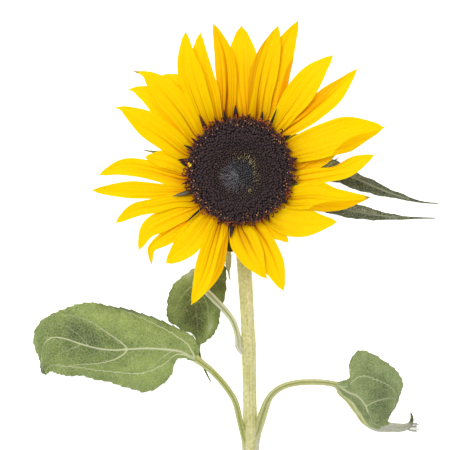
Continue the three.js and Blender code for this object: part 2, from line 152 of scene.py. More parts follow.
def from_stem(place):
    """How far a place is to the side of the stem, for finding the foot of a leaf."""
    return abs(place[0] - head[0])


def read_rings(node, distance):
    """A node's rings as [ring][point][x, y, z]. Each starts at the left and goes over the top."""
    places, neighbours = welded(node)
    ends = [i for i, near in enumerate(neighbours) if all(len(neighbours[n]) == 5 for n in near)]
    foot = min(ends, key=lambda i: distance(places[i]))
    layers, seen, layer = [], {foot}, set(neighbours[foot])
    while len(layer) > 1:
        layers.append(layer)
        seen |= layer
        layer = set().union(*(neighbours[v] for v in layer)) - seen
    middles = [places[list(layer)].mean(axis=0) for layer in layers[:2]]
    left = np.cross(UP, middles[1] - middles[0])
    start = max(layers[0], key=lambda v: places[v] @ left)
    ring = [start, max(neighbours[start] & layers[0], key=lambda v: places[v][2])]
    while len(ring) < len(layers[0]):
        ring.append((neighbours[ring[-1]] & layers[0] - set(ring)).pop())
    rings = [ring]
    for layer in layers[1:]:
        pairs = zip(rings[-1], rings[-1][1:] + rings[-1][:1])
        rings.append([(neighbours[a] & neighbours[b] & layer).pop() for a, b in pairs])
    rings = places[np.array(rings)]
    if distance(rings[0].mean(axis=0)) > distance(rings[-1].mean(axis=0)):
        rings = rings[::-1, len(ring) // 2 - np.arange(len(ring))]
    return rings


print("a petal's rings:", read_rings("petal_01", from_head).shape)

# %% [markdown]
# ## A blade is a midrib and two margins
#
# A petal, a scale and a leaf are all thin blades. Three lines say all that matters about one: the
# midrib, the left margin and the right margin. They are read from the rings, smoothed with a
# Catmull-Rom curve, which passes through every point it is given, and spaced evenly.

# %% Smooth reading between rows
def read_between(rows, places):
    """Rows read at fractional row numbers, on a Catmull-Rom curve through them."""
    padded = np.concatenate([[2 * rows[0] - rows[1]], rows, [2 * rows[-1] - rows[-2]]])
    low = np.clip(np.floor(places).astype(int), 0, len(rows) - 2)
    t = (places - low).reshape(-1, *[1] * (rows.ndim - 1))
    a, b, c, d = (padded[low + k] for k in range(4))
    return b + t / 2 * (c - a + t * (2 * a - 5 * b + 4 * c - d + t * (3 * (b - c) + d - a)))


def evenly(rings, rows):
    """Rings read again at even distances, which leaves a piece with evenly sized faces."""
    fine = read_between(rings, np.linspace(0, len(rings) - 1, 20 * len(rings)))
    steps = np.linalg.norm(np.diff(fine, axis=0), axis=2).mean(axis=1)
    travelled = np.concatenate([[0], np.cumsum(steps)])
    places = np.interp(np.linspace(0, travelled[-1], rows), travelled, range(len(fine)))
    return read_between(fine, places)


def read_blade(node, rows, distance=from_head):
    """A blade's midrib, left and right margins as [row][line][x, y, z], and its depth by row."""
    rings = evenly(read_rings(node, distance), rows)
    quarter = rings.shape[1] // 4
    top, bottom = rings[:, quarter], rings[:, 3 * quarter]
    lines = np.stack([(top + bottom) / 2, rings[:, 0], rings[:, 2 * quarter]], axis=1)
    return lines, np.linalg.norm(top - bottom, axis=1)


# %% [markdown]
# ## From three lines to a thin closed sheet
#
# Between its margins a blade is a grid of points. `side` runs from -1 at the right margin to 1 at
# the left one. The grid gets a second copy underneath and a rim all round, so that the blade is a
# closed solid, thin as the real tissue is. Numbers that a material will want later, such as how
# far along the blade a point lies, are stored on the points as attributes.

# %% Grids of points
def steps_across(columns, crowding=1.0):
    """Shares across a blade from right to left, closer together near the margins."""
    even = np.linspace(-1, 1, columns)
    return (1 - crowding) * even + crowding * np.sin(even * math.pi / 2)


def spread(lines, side, hollow):
    """The grid between a blade's lines. hollow is 1 for a creased trough and 2 for a round one."""
    midrib, left, right = (lines[:, k, None] for k in range(3))
    share = side[None, :, None]
    return midrib + share * (left - right) / 2 + abs(share) ** hollow * ((left + right) / 2 - midrib)


def outward(grid):
    """The direction out of a grid's upper face, at each of its points."""
    out = np.cross(np.gradient(grid, axis=0), np.gradient(grid, axis=1))
    return out / np.maximum(np.linalg.norm(out, axis=2, keepdims=True), 1e-12)


# %% Meshes and thin sheets
def make_mesh(name, vertices, faces, marks=None):
    """A smooth-shaded object. marks are values for its points, stored as named attributes."""
    mesh = bpy.data.meshes.new(name)
    mesh.from_pydata(np.asarray(vertices).tolist(), [], np.asarray(faces).tolist())
    for mark, values in (marks or {}).items():
        mesh.attributes.new(mark, "FLOAT", "POINT").data.foreach_set("value", np.ravel(values))
    mesh.shade_smooth()
    made = bpy.data.objects.new(name, mesh)
    bpy.context.scene.collection.objects.link(made)
    return made


def grid_faces(index):
    """The four-cornered faces of a grid of point numbers."""
    corners = [index[:-1, :-1], index[1:, :-1], index[1:, 1:], index[:-1, 1:]]
    return np.stack(corners, axis=-1).reshape(-1, 4)


def thin_sheet(name, grid, thickness, marks):
    """A closed sheet round a grid. Its mark `upper` is 1 on the upper face and 0 below."""
    half = outward(grid) * np.asarray(thickness)[..., None] / 2
    index = np.arange(grid[..., 0].size).reshape(grid.shape[:2])
    under = index + index.size
    rim = np.concatenate([index[:-1, 0], index[-1, :-1], index[:0:-1, -1], index[0, :0:-1]])
    following = np.roll(rim, -1)
    sides = np.stack([rim + index.size, following + index.size, following, rim], axis=1)
    faces = np.concatenate([grid_faces(index), grid_faces(under)[:, ::-1], sides])
    vertices = np.concatenate([(grid + half).reshape(-1, 3), (grid - half).reshape(-1, 3)])
    spans = {mark: np.broadcast_to(values, index.shape) for mark, values in marks.items()}
    both = {mark: np.tile(np.ravel(values), 2) for mark, values in spans.items()}
    both["upper"] = np.repeat([1.0, 0.0], index.size)
    return make_mesh(name, vertices, faces, both)


# %% [markdown]
# ## Mixing paints
#
# Every finish here is a shader made of nodes. `Paint` gives short names to the few kinds of node
# that plant tissue needs: noise for mottling, ramps for colour, and bump for a fine relief that
# would be wasteful as geometry. Colours are written the way paint charts write them, in sRGB, and
# turned into the linear values that light works with.

# %% The Paint class
def colour(chart):
    """A colour such as "#ffd400" as linear red, green, blue and an alpha of 1."""
    shares = [int(chart[i : i + 2], 16) / 255 for i in (1, 3, 5)]
    return (*[s / 12.92 if s <= 0.04045 else ((s + 0.055) / 1.055) ** 2.4 for s in shares], 1.0)


class Paint:
    """A material, with short names for the kinds of node that its finish is made of."""

    def __init__(self, name, roughness, specular):
        self.material = bpy.data.materials.new(name)
        self.material.use_nodes = True
        self.tree = self.material.node_tree
        self.shader = self.tree.nodes["Principled BSDF"]
        self.shader.inputs["Roughness"].default_value = roughness
        self.shader.inputs["Specular IOR Level"].default_value = specular

    def feed(self, socket, value):
        """Sets a socket to a value, or links it to another node's output."""
        if isinstance(value, bpy.types.NodeSocket):
            self.tree.links.new(value, socket)
        else:
            socket.default_value = value

    def node(self, kind, inputs, **settings):
        """A new node of a kind, with its inputs by name or number."""
        made = self.tree.nodes.new("ShaderNode" + kind)
        for name, value in settings.items():
            setattr(made, name, value)
        for socket, value in inputs.items():
            self.feed(made.inputs[socket], value)
        return made

    def mark(self, name):
        """A number stored on the mesh's points."""
        return self.node("Attribute", {}, attribute_name=name).outputs["Fac"]

    def maths(self, operation, first, second=0.0, third=0.0):
        """A sum, a product or another operation on numbers, kept as a socket."""
        inputs = {0: first, 1: second, 2: third}
        return self.node("Math", inputs, operation=operation).outputs[0]

    def total(self, *terms, start=0.0):
        """The sum of some (number, weight) terms."""
        for number, weight in terms:
            start = self.maths("MULTIPLY_ADD", number, weight, start)
        return start

    def where(self, stretch=1.0):
        """The place on the piece in millimetres, times a stretch for all axes or for each."""
        place = self.node("TexCoord", {}).outputs["Object"]
        scale = [s / MM for s in np.broadcast_to(stretch, 3)]
        return self.node("Mapping", {"Vector": place, "Scale": scale}).outputs[0]

    def on_blade(self, along, across):
        """A place on a blade, from its marks: times `along` lengthwise and `across` sideways."""
        lengthwise = self.maths("MULTIPLY", self.mark("along_mm"), along)
        sideways = self.maths("MULTIPLY", self.mark("across_mm"), across)
        parts = {"X": lengthwise, "Y": sideways, "Z": self.mark("seed")}
        return self.node("CombineXYZ", parts).outputs[0]

    def noise(self, vector, scale=1.0, detail=3.0):
        """Cloudy noise from 0 to 1, with about `scale` clouds to a unit of the vector."""
        inputs = {"Vector": vector, "Scale": scale, "Detail": detail}
        return self.node("TexNoise", inputs).outputs["Fac"]

    def net(self, vector, scale):
        """1 on the lines of an irregular net with `scale` meshes to a unit, and 0 inside them."""
        inputs = {"Vector": vector, "Scale": scale}
        cells = self.node("TexVoronoi", inputs, feature="DISTANCE_TO_EDGE")
        return self.between(cells.outputs["Distance"], 0.0, 0.13, 1.0, 0.0)

    def ramp(self, factor, stops):
        """A colour read from a row of (place, colour) stops."""
        stops = list(stops)
        made = self.node("ValToRGB", {"Fac": factor})
        elements = made.color_ramp.elements
        while len(elements) < len(stops):
            elements.new(0.5)
        for element, (place, chart) in zip(elements, stops):
            element.position = place
            element.color = colour(chart)
        return made.outputs["Color"]

    def blend(self, factor, first, second):
        """Two colours mixed by a factor."""
        made = self.node("Mix", {0: factor, 6: first, 7: second}, data_type="RGBA")
        return made.outputs[2]

    def between(self, value, low, high, start=0.0, stop=1.0):
        """A value eased from start to stop as it goes from low to high."""
        inputs = {"Value": value, 1: low, 2: high, 3: start, 4: stop}
        return self.node("MapRange", inputs, interpolation_type="SMOOTHSTEP").outputs[0]

    def relief(self, height, depth):
        """A bump as deep as `depth` metres."""
        inputs = {"Height": height, "Distance": depth, "Strength": 1.0}
        bump = self.node("Bump", inputs).outputs["Normal"]
        self.feed(self.shader.inputs["Normal"], bump)

    def finish(self, base, grain=None, smooth=0.0, rough=0.0):
        """Feeds the base colour, and a roughness if it follows a grain, and gives the material."""
        self.feed(self.shader.inputs["Base Color"], base)
        if grain is not None:
            self.feed(self.shader.inputs["Roughness"], self.between(grain, 0.3, 0.7, smooth, rough))
        return self.material


FIVE_STOPS = (0.0, 0.3, 0.55, 0.8, 1.0)


def speckled(name, roughness, specular, scale, depth, stops, detail=2.0):
    """A paint whose one noise chooses the colour and gives a relief, `depth` millimetres deep."""
    paint = Paint(name, roughness, specular)
    speckle = paint.noise(paint.where(scale), detail=detail)
    paint.relief(speckle, depth * MM)
    return paint.finish(paint.ramp(speckle, stops))


def dress(piece, paint, slot, *nodes):
    """Gives a piece its paint, and says what it rides on and which plain pieces it stands for."""
    piece.data.materials.append(paint)
    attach(piece, "root")
    if nodes:
        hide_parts(*nodes)
    return piece


# %% [markdown]
# ## Petal paint
#
# A ray petal is clear yellow at the tip and warms to orange at its foot. Painted shade adds more
# orange there, under the disc, and down in its pleats, its creases and its turned-over margins.
# `warmth_and_shade` is stored on each point for that, and a ramp turns it into colour. Noise pulled
# out lengthwise gives the fine parallel veins, in colour and as relief. The underside is duller,
# and a few tips have dried brown.

# %% Petal paint
def petal_paint():
    paint = Paint("ray_petal", roughness=0.55, specular=0.03)
    paint.shader.inputs["Subsurface Weight"].default_value = 0.2
    paint.shader.inputs["Subsurface Radius"].default_value = (1.0, 0.7, 0.1)
    paint.shader.inputs["Subsurface Scale"].default_value = 1.2 * MM
    veins = paint.noise(paint.on_blade(0.06, 1.6), detail=2.0)
    clouds = paint.noise(paint.on_blade(0.05, 0.12), detail=2.0)
    warmth_and_shade = paint.total((paint.mark("warmth_and_shade"), 1.0), (veins, 0.34), (clouds, 0.16), start=-0.25)
    tones = ("#ffd500", "#f9c800", "#e6aa00", "#c28000", "#8c5204")
    yellow = paint.ramp(warmth_and_shade, zip(FIVE_STOPS, tones))
    dull = paint.blend(0.35, yellow, colour("#d9a21c"))
    both_faces = paint.blend(paint.mark("upper"), dull, yellow)
    dried = paint.ramp(veins, [(0.3, "#8a6a36"), (0.7, "#c39c52")])
    base = paint.blend(paint.mark("dried"), both_faces, dried)
    paint.relief(veins, 0.12 * MM)
    return paint.finish(base, veins, 0.45, 0.6)


PETAL_PAINT = petal_paint()

# %% [markdown]
# ## Pleats
#
# A petal is stiffened by pleats that start together in its foot and fan out towards its tip. Each
# is a soft groove: a bell curve across the blade, pressed down along the surface's own normal.
# Where they lie differs from petal to petal, so they are drawn from a seeded random generator, and
# the petals with a groove of their own character name it in `PETAL_TRAITS`.

# %% What sets single petals apart
# A flank is 1 on the left, looking towards the tip, and -1 on the right. grooves are (side, depth).
# edge is a stretch of margin that has turned over, as (flank, from, to, width). margins are places
# where one margin draws in or, below 0, swells, as (flank, place, size, how much), and nudges are
# moves of the whole blade, as (place, size, right, up) in millimetres. foot is how much wider than
# usual the petal starts, stretch how many millimetres its tip is drawn out, warm how much deeper
# its own yellow is, dried how much of its tip has gone brown, and wisp how many millimetres of
# withered thread its tip ends in.
PETAL_TRAITS = {
    1: {"grooves": [(-0.55, 0.5), (-0.1, 0.6), (0.4, 0.5)], "warm": 0.06, "foot": 0.5},
    2: {"grooves": [(-0.35, 0.6), (0.25, 0.9)], "edge": (1, 0.1, 0.95, 0.45), "warm": 0.1},
    3: {
        "grooves": [(0.3, 1.0)], "edge": (-1, 0.0, 0.7, 0.6), "warm": 0.12,
        "margins": [(-1, 0.75, 0.2, -0.22), (1, 0.85, 0.12, -0.4)], "stretch": 2.0,
    },
    4: {"grooves": [(-0.2, 0.4), (0.35, 0.3)], "warm": -0.04, "margins": [(-1, 0.6, 0.3, -0.14)]},
    5: {"grooves": [(0.2, 1.3)], "edge": (1, 0.05, 0.97, 0.75), "margins": [(1, 0.6, 0.3, -0.14)]},
    6: {"grooves": [(0.3, 0.2), (-0.2, 0.2)], "edge": (-1, 0.42, 1.1, 0.75), "warm": -0.06},
    7: {"grooves": [(0.2, 0.5)], "warm": 0.16, "margins": [(-1, 0.45, 0.35, -0.35)]},
    8: {
        "grooves": [(0.35, 0.6)], "edge": (1, 0.4, 0.8, 0.35), "warm": -0.03,
        "margins": [(1, 0.5, 0.16, 0.55), (1, 0.85, 0.15, -0.4)],
    },
    9: {
        "grooves": [(0.1, 0.5)], "edge": (-1, 0.3, 1.1, 0.9), "dried": 0.07,
        "margins": [(1, 0.42, 0.15, -0.22)],
    },
    10: {"grooves": [(-0.3, 0.3), (0.3, 0.3)], "warm": -0.05, "margins": [(-1, 0.42, 0.26, -0.28)]},
    11: {"grooves": [(0.0, 0.4)], "warm": 0.1},
    12: {
        "grooves": [(0.15, 0.9), (-0.5, 0.4)], "warm": 0.03,
        "margins": [(1, 0.55, 0.3, 0.14)], "nudges": [(0.85, 0.35, -0.6, 0.0)],
    },
    13: {"grooves": [(-0.2, 0.9), (0.35, 0.9)], "warm": 0.05, "foot": 0.05},
    14: {"grooves": [(-0.25, 1.0), (0.15, 0.8)], "edge": (1, 0.1, 0.85, 0.6), "foot": 0.5},
    15: {"grooves": [(-0.3, 0.4), (0.3, 0.3)], "warm": -0.03, "margins": [(1, 0.65, 0.25, 0.16)]},
    16: {
        "grooves": [(-0.4, 0.9), (0.1, 0.4)], "warm": 0.08,
        "margins": [(1, 0.6, 0.16, -0.5)], "nudges": [(0.78, 0.26, -2.2, 0.0)],
    },
    17: {"grooves": [(-0.3, 0.5), (0.3, 0.5)], "warm": 0.02},
    18: {"grooves": [(0.0, 0.5)], "foot": 0.6, "margins": [(-1, 0.28, 0.2, -0.4)]},
    19: {"grooves": [(0.2, 0.7), (-0.3, 0.3)], "foot": 0.8},
    20: {"grooves": [(0.1, 0.5), (-0.4, 0.6)], "foot": 0.5, "margins": [(1, 0.18, 0.12, -0.35)]},
    21: {"grooves": [(0.3, 0.5)], "warm": 0.05},
    22: {"grooves": [(0.25, 0.6)], "wisp": 3.4},
    23: {"grooves": [(-0.2, 0.6), (0.4, 0.4)], "wisp": 2.6},
    24: {"grooves": [(0.1, 0.7)], "wisp": 6.0, "warm": 0.04},
    25: {"grooves": [(-0.1, 0.6)], "dried": 0.04, "warm": 0.1},
    26: {"grooves": [(0.35, 0.7), (-0.35, 0.5)], "warm": 0.03, "margins": [(-1, 0.5, 0.3, -0.14)]},
    27: {"warm": 0.08},
    28: {"grooves": [(-0.05, 1.4), (0.5, 0.5)], "warm": 0.24, "foot": 0.5},
}


# %% Lengths and widths along a blade
def lengths(line):
    """How far along a line each of its points lies."""
    return np.concatenate([[0], np.cumsum(np.linalg.norm(np.diff(line, axis=0), axis=1))])


def half_widths(lines):
    """Half a blade's width at each of its rows."""
    return np.linalg.norm(lines[:, 1] - lines[:, 2], axis=1)[:, None] / 2


def widened(lines, factor):
    """A blade's lines with the margins moved away from the midrib by a factor for each row."""
    midrib = lines[:, :1]
    return midrib + (lines - midrib) * factor[..., None]


# %% Moving and drawing out a blade
def nudged(lines, along, traits):
    """A blade's lines moved sideways where its traits ask for it."""
    for place, size, right, up in traits.get("nudges", []):
        lines = lines + np.array([right, up, 0]) * MM * bell(along, place, size)[..., None]
    return lines


def stretched(lines, along, start, further):
    """A blade's lines with its tip drawn out by so many millimetres."""
    ahead = unit(lines[-1, 0] - lines[-4, 0])
    return lines + ahead * further * MM * ease(along, start, along[-1])[..., None]


def with_wisp(lines, wisp, rows=16):
    """A blade's lines with its tip carried on as a withered thread that leans to the left."""
    half_width = half_widths(lines)[:, 0]
    last = np.flatnonzero(half_width > 1.5 * MM)[-1]
    ahead = unit(lines[-1, 0] - lines[-5, 0])
    across = unit(lines[last, 1] - lines[last, 2])
    on = np.linspace(0, 1, rows)[1:, None]
    middle = lines[last, 0] * (1 - on) + lines[-1, 0] * on
    middle = middle + wisp * MM * (0.75 * on * ahead + 0.7 * on**1.3 * across - 0.1 * on**2 * UP)
    half = half_width[last] * (1.01 - on) ** 1.5 * (across - 0.5 * on * ahead)
    thread = np.stack([middle, middle + half, middle - half], axis=1)
    return np.concatenate([lines[: last + 1], thread])


# %% The outline of a petal
PETAL_ROWS, PETAL_COLUMNS = 56, 35


def petal_lines(node, traits, random):
    """A petal's lines, how far along it each row lies, and the length that this is a share of."""
    lines, _ = read_blade(node, PETAL_ROWS)
    length = lengths(lines[:, 0])[-1]
    along = np.linspace(0, 1, len(lines))[:, None]
    drawn_out = "wisp" in traits
    wider = 1.09 - (0.2 if drawn_out else 0.89) * ease(along, 0.93, 1.0)
    wider = wider + 0.02 * np.sin(along * random.uniform(14, 22) + random.uniform(0, 6))
    wider = wider + traits.get("foot", 0.22) * (1 - ease(along, 0.0, 0.34))
    wider = np.tile(wider, (1, 3))
    for flank, place, size, narrower in traits.get("margins", []):
        wider[:, 1 if flank > 0 else 2] *= 1 - narrower * bell(along[:, 0], place, size)
    lines = nudged(widened(lines, wider), along, traits)
    lines = stretched(lines, along, 0.85, 0.6 if drawn_out else traits.get("stretch", 1.2))
    if drawn_out:
        lines = with_wisp(lines, traits["wisp"])
        along = lengths(lines[:, 0])[:, None] / length
    return lines, along, length


# %% The relief of a petal
def pleats(along, side, grooves, random):
    """How far pleats press each point in, with fine lines between them, and how they crease it."""
    pressed = np.zeros((len(along), len(side)))
    creased = np.zeros_like(pressed)
    for place, depth in grooves:
        line = place * (1 - 0.25 * (1 - along))
        crease = bell(side, line, 0.045)
        pressed += depth * (0.5 * bell(side, line, 0.16) + 0.6 * crease)
        creased += depth * crease
    for place in random.uniform(-0.85, 0.85, 5):
        reaching = 1 - ease(along, random.uniform(0.25, 0.6), 0.85)
        pressed += random.uniform(0.25, 0.6) * reaching * bell(side, place, 0.05)
    return pressed, creased


def turned_margin(along, side, edge, power):
    """How far each point lies past the fold of a margin that has turned over, and at which rows."""
    flank, start, stop, width = edge
    swell = np.sin(math.pi * np.clip((along - start) / (stop - start), 0, 1)) ** power
    return side * flank - (1 - width * swell), swell > 0.02


# %% Building a petal
def petal(node):
    number = int(node[-2:])
    random = np.random.default_rng(700 + number)
    traits = PETAL_TRAITS[number]
    usual = [(-0.4 + random.uniform(-0.1, 0.1), 0.6), (0.3 + random.uniform(-0.1, 0.1), 0.6)]
    lines, along, length = petal_lines(node, traits, random)
    side = steps_across(PETAL_COLUMNS, 0.4)
    half_width = half_widths(lines)
    grid = spread(lines, side, hollow=2)

    # pleats are deep in the foot and fade before the tip, and a slow wave runs along the margins
    pressed, creased = pleats(along, side, traits.get("grooves", usual), random)
    fade = ease(along, 0.0, 0.1) * (1 - ease(along, 0.6, 1.0)) + 0.14 * (along < 0.97)
    swing = np.sin(along * random.uniform(7, 11) + random.uniform(0, 6))
    wave = swing * abs(side) ** 3 * ease(along, 0.2, 0.6) * (1 - ease(along, 0.93, 1.0))
    lift = 0.5 * MM * (wave * np.sign(side) - pressed * fade)

    # a turned-over margin shows as a facet with the deeper colour of the far face and painted shade
    turned = 0.0
    if "edge" in traits:
        past, there = turned_margin(along, side, traits["edge"], 0.7)
        turned = ease(past, -0.02, 0.08) * there
        lift = lift - np.clip(past, 0, 1) * half_width * 0.45 * there

    # painted shade: extra orange at the foot, under the disc, in the pleats and on turned facets
    warmth_and_shade = 0.05 + 0.5 * np.exp(-along / 0.1) + 0.3 * np.exp(-along / 0.42)
    warmth_and_shade = warmth_and_shade + 0.55 * np.clip(pressed, 0, 1.5) * (1 - 0.8 * np.clip(along, 0, 1)) ** 1.2
    warmth_and_shade = warmth_and_shade + 0.22 * creased * (1 - ease(along, 0.4, 0.95)) + 0.34 * turned
    dried_from = 1.03 if "wisp" in traits else 1 - traits.get("dried", 0.02)
    marks = {
        "warmth_and_shade": warmth_and_shade + traits.get("warm", 0.0) + random.uniform(-0.02, 0.02),
        "dried": ease(along, dried_from, dried_from + 0.03),
        "along_mm": along * length / MM,
        "across_mm": side * half_width / MM,
        "seed": 10.0 * number,
    }
    thickness = 0.32 * MM * (1 - 0.6 * abs(side) ** 8)
    skin = thin_sheet(node + "_skin", grid + outward(grid) * lift[..., None], thickness, marks)
    return dress(skin, PETAL_PAINT, "petal", node)


petals = [petal(node) for node in sorted(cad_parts) if node.startswith("petal")]
print("petals:", len(petals))

# %% [markdown]
# ## Bracts
#
# Behind the petals sit two rows of bracts, green scales that wrapped the bud. Their thin points
# show between the petals. They are blades like the petals, with veins that run lengthwise, and
# their margins are fringed with short hairs, which are only hinted at by a paler edge.

# %% Bract paint
def bract_paint():
    paint = Paint("bract_green", roughness=0.7, specular=0.15)
    veins = paint.noise(paint.on_blade(0.08, 1.9), detail=2.0)
    mottling = paint.noise(paint.where(0.5), detail=4.0)
    tone = paint.total((veins, 0.5), (mottling, 0.5))
    green = paint.ramp(tone, [(0.25, "#4d5a37"), (0.5, "#74845a"), (0.75, "#a3ad84")])
    base = paint.blend(paint.mark("rim"), green, colour("#bcc0a4"))
    # withered tips take this dark colour, and on the blunt bract it is painted shade
    base = paint.blend(paint.mark("withered"), base, colour("#42371c"))
    paint.relief(tone, 0.2 * MM)
    return paint.finish(base, veins, 0.6, 0.8)


BRACT_PAINT = bract_paint()


# %% Building a bract
# One bract is painted dark all over, as shade in the gap between two petals, and has a blunt
# end. The number is half its width there in millimetres.
SHADED_BLUNT_BRACTS = {"bract_06": 2.8}
BRACT_ROWS, BRACT_COLUMNS = 40, 15


def bract(node):
    number = int(node[-2:])
    random = np.random.default_rng(300 + number)
    lines, _ = read_blade(node, BRACT_ROWS)
    side = steps_across(BRACT_COLUMNS)
    along = np.linspace(0, 1, len(lines))[:, None]
    shaded_blunt = SHADED_BLUNT_BRACTS.get(node, 0.0)
    half_width = np.maximum(half_widths(lines), shaded_blunt * MM * ease(along, 0.2, 0.9))
    half_width = half_width * (1 - 0.8 * ease(along, 0.96 if shaded_blunt else 0.9, 1.0))
    grid = spread(widened(lines, half_width / half_widths(lines)), side, hollow=2)
    keel = 0.35 * bell(side, 0, 0.16) * (1 - along)
    swing = np.sin(along * random.uniform(8, 12) + random.uniform(0, 6)) * side * abs(side)
    lift = MM * (keel + 0.35 * swing * ease(along, 0.15, 0.5) * (1 - ease(along, 0.8, 1.0)))
    # the tip withers a little, and the blunt bract is painted dark all over, as shade
    withered = ease(along, 0.8, 1.0) * random.uniform(0.2, 0.8)
    marks = {
        "rim": 0.8 * ease(abs(side), 0.8, 1.0) * (1 - ease(along, 0.75, 1.0)),
        "withered": np.maximum(withered, shaded_blunt > 0),
        "along_mm": along * lengths(lines[:, 0])[-1] / MM,
        "across_mm": side * half_width / MM,
        "seed": 10.0 * number,
    }
    thickness = 0.5 * MM * (1 - 0.6 * abs(side) ** 6)
    scale = thin_sheet(node + "_scale", grid + outward(grid) * lift[..., None], thickness, marks)
    return dress(scale, BRACT_PAINT, "bract", node)


bracts = [bract(node) for node in sorted(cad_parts) if node.startswith("bract")]
print("bracts:", len(bracts))

# %% [markdown]
# ## Stem
#
# The stem is a ribbed rod of pith and fibre, pale green with darker lines between its ribs, and
# rough with short stiff hairs. It widens into the cup that the head sits on. Its rings are read at
# many more points than the plain model has, the ribs are pressed in along each ring, and the cut
# end is closed with a face where the pale pith shows inside a ring of fibres.

# %% Stem paint
def stem_paint():
    paint = Paint("stem_skin", roughness=0.7, specular=0.2)
    streaks = paint.noise(paint.where((1.5, 0.05, 1.5)), detail=4.0)
    clouds = paint.noise(paint.where((0.2, 0.06, 0.2)), detail=2.0)
    freckles = paint.noise(paint.where((0.9, 0.6, 0.9)), detail=5.0)
    rib = paint.mark("rib")
    tone = paint.total((streaks, 0.6), (rib, 0.16), (clouds, 0.5), (freckles, 1.3), start=-0.68)
    skin = [(0.0, "#94994c"), (0.3, "#bcbb72"), (0.55, "#cfcb8e"), (0.8, "#dfdbaa"), (1.0, "#efecd0")]
    cup = [(0.1, "#5f7038"), (0.5, "#8b9a5c"), (0.9, "#b5bd8a")]
    pith = [(0.0, "#efeedd"), (0.6, "#e6e4c8"), (0.75, "#c3c090"), (1.0, "#98a05a")]
    base = paint.blend(paint.mark("cup"), paint.ramp(tone, skin), paint.ramp(tone, cup))
    base = paint.blend(paint.mark("cut"), base, paint.ramp(paint.mark("from_pith"), pith))
    paint.relief(paint.total((streaks, 1.0), (freckles, 1.0)), 0.22 * MM)
    return paint.finish(base, freckles, 0.6, 0.8)


STEM_PAINT = stem_paint()


# %% Rings as a closed tube
def read_round(rings, count):
    """Rings read at more points each, on a smooth closed curve through their own."""
    wrapped = np.concatenate([rings[:, -2:], rings, rings[:, :3]], axis=1).swapaxes(0, 1)
    places = 2 + np.arange(count) * rings.shape[1] / count
    return read_between(wrapped, places).swapaxes(0, 1)


def tube_faces(index):
    """The faces of a tube of rings of point numbers, facing out."""
    return grid_faces(np.concatenate([index, index[:, :1]], axis=1))[:, ::-1]


# %% Building the stem
STEM_ROWS, STEM_AROUND = 240, 80


def from_cut(place):
    """How far up the flower a place is, for finding the cut end, where the stem starts."""
    return place[1]


def stem():
    rings = read_round(evenly(read_rings("stem", from_cut), STEM_ROWS), STEM_AROUND)
    centres = rings.mean(axis=1, keepdims=True)
    out = unit(rings - centres)
    turn = np.linspace(0, 2 * math.pi, STEM_AROUND, endpoint=False)
    drift = 0.5 * np.sin(lengths(centres[:, 0])[:, None] / (31 * MM))
    ribs = 0.5 * np.cos(13 * turn + 1.0 + drift) + 0.3 * np.cos(22 * turn - 2 * drift)
    ribs = ribs + 0.2 * np.cos(7 * turn)
    cup = ease(centres[..., 2], 17 * MM, 24 * MM)
    rings = rings + out * (ribs * MM * (0.16 + 0.3 * cup))[..., None]
    rings[..., 2] = np.maximum(rings[..., 2], 0)

    # the cut face draws in from the first ring, dished a little, and the top closes the cup
    shares = np.array([0.0, 0.3, 0.6, 0.75, 0.9, 0.97])[:, None]
    cut = centres[0] + (rings[0] - centres[0]) * shares[..., None]
    cut = cut + np.array([0, 0.5 * MM, 0]) * (1 - shares[..., None] ** 4)
    top = centres[-1] + (rings[-1] - centres[-1]) * np.array([0.9, 0.5, 0.0])[:, None, None]
    skin = np.concatenate([cut, rings, top])
    index = np.arange(skin[..., 0].size).reshape(skin.shape[:2])
    ends = (len(cut), len(top))
    marks = {
        "rib": np.pad(0.5 + 0.5 * ribs, (ends, (0, 0))),
        "cup": np.pad(cup, (ends, (0, 0)), constant_values=((0, 1), (0, 0))),
        "cut": np.pad(0 * cup, (ends, (0, 0)), constant_values=((1, 0), (0, 0))),
        "from_pith": np.concatenate([shares, np.ones((len(rings) + len(top), 1))]),
    }
    marks = {mark: np.broadcast_to(values, index.shape) for mark, values in marks.items()}
    made = make_mesh("stem_skin", skin.reshape(-1, 3), tube_faces(index), marks)
    dress(made, STEM_PAINT, "stem", "stem")
    return rings, out


stem_rings, stem_out = stem()
print("stem rings:", stem_rings.shape)

# %% [markdown]
# ## Leaf paint
#
# A sunflower leaf is rough and veined: one strong midrib, a few side veins that leave it in long
# curves, and between them an irregular net of small veins with the tissue bulging a little in
# every mesh. The midrib and the side veins are big enough to be geometry, and arrive here as the
# mark `vein`. The net is a Voronoi pattern, in colour and as relief, and `netted` says how much
# its colour shows. `shade` says how light the green is, `stalk` where the leaf is still stalk,
# `groove` where that is greenest, and `turned` where the leaf shows its other face.

# %% Leaf paint
STALK_TONES = ("#a9ae56", "#cbcd86", "#e8e8c4")


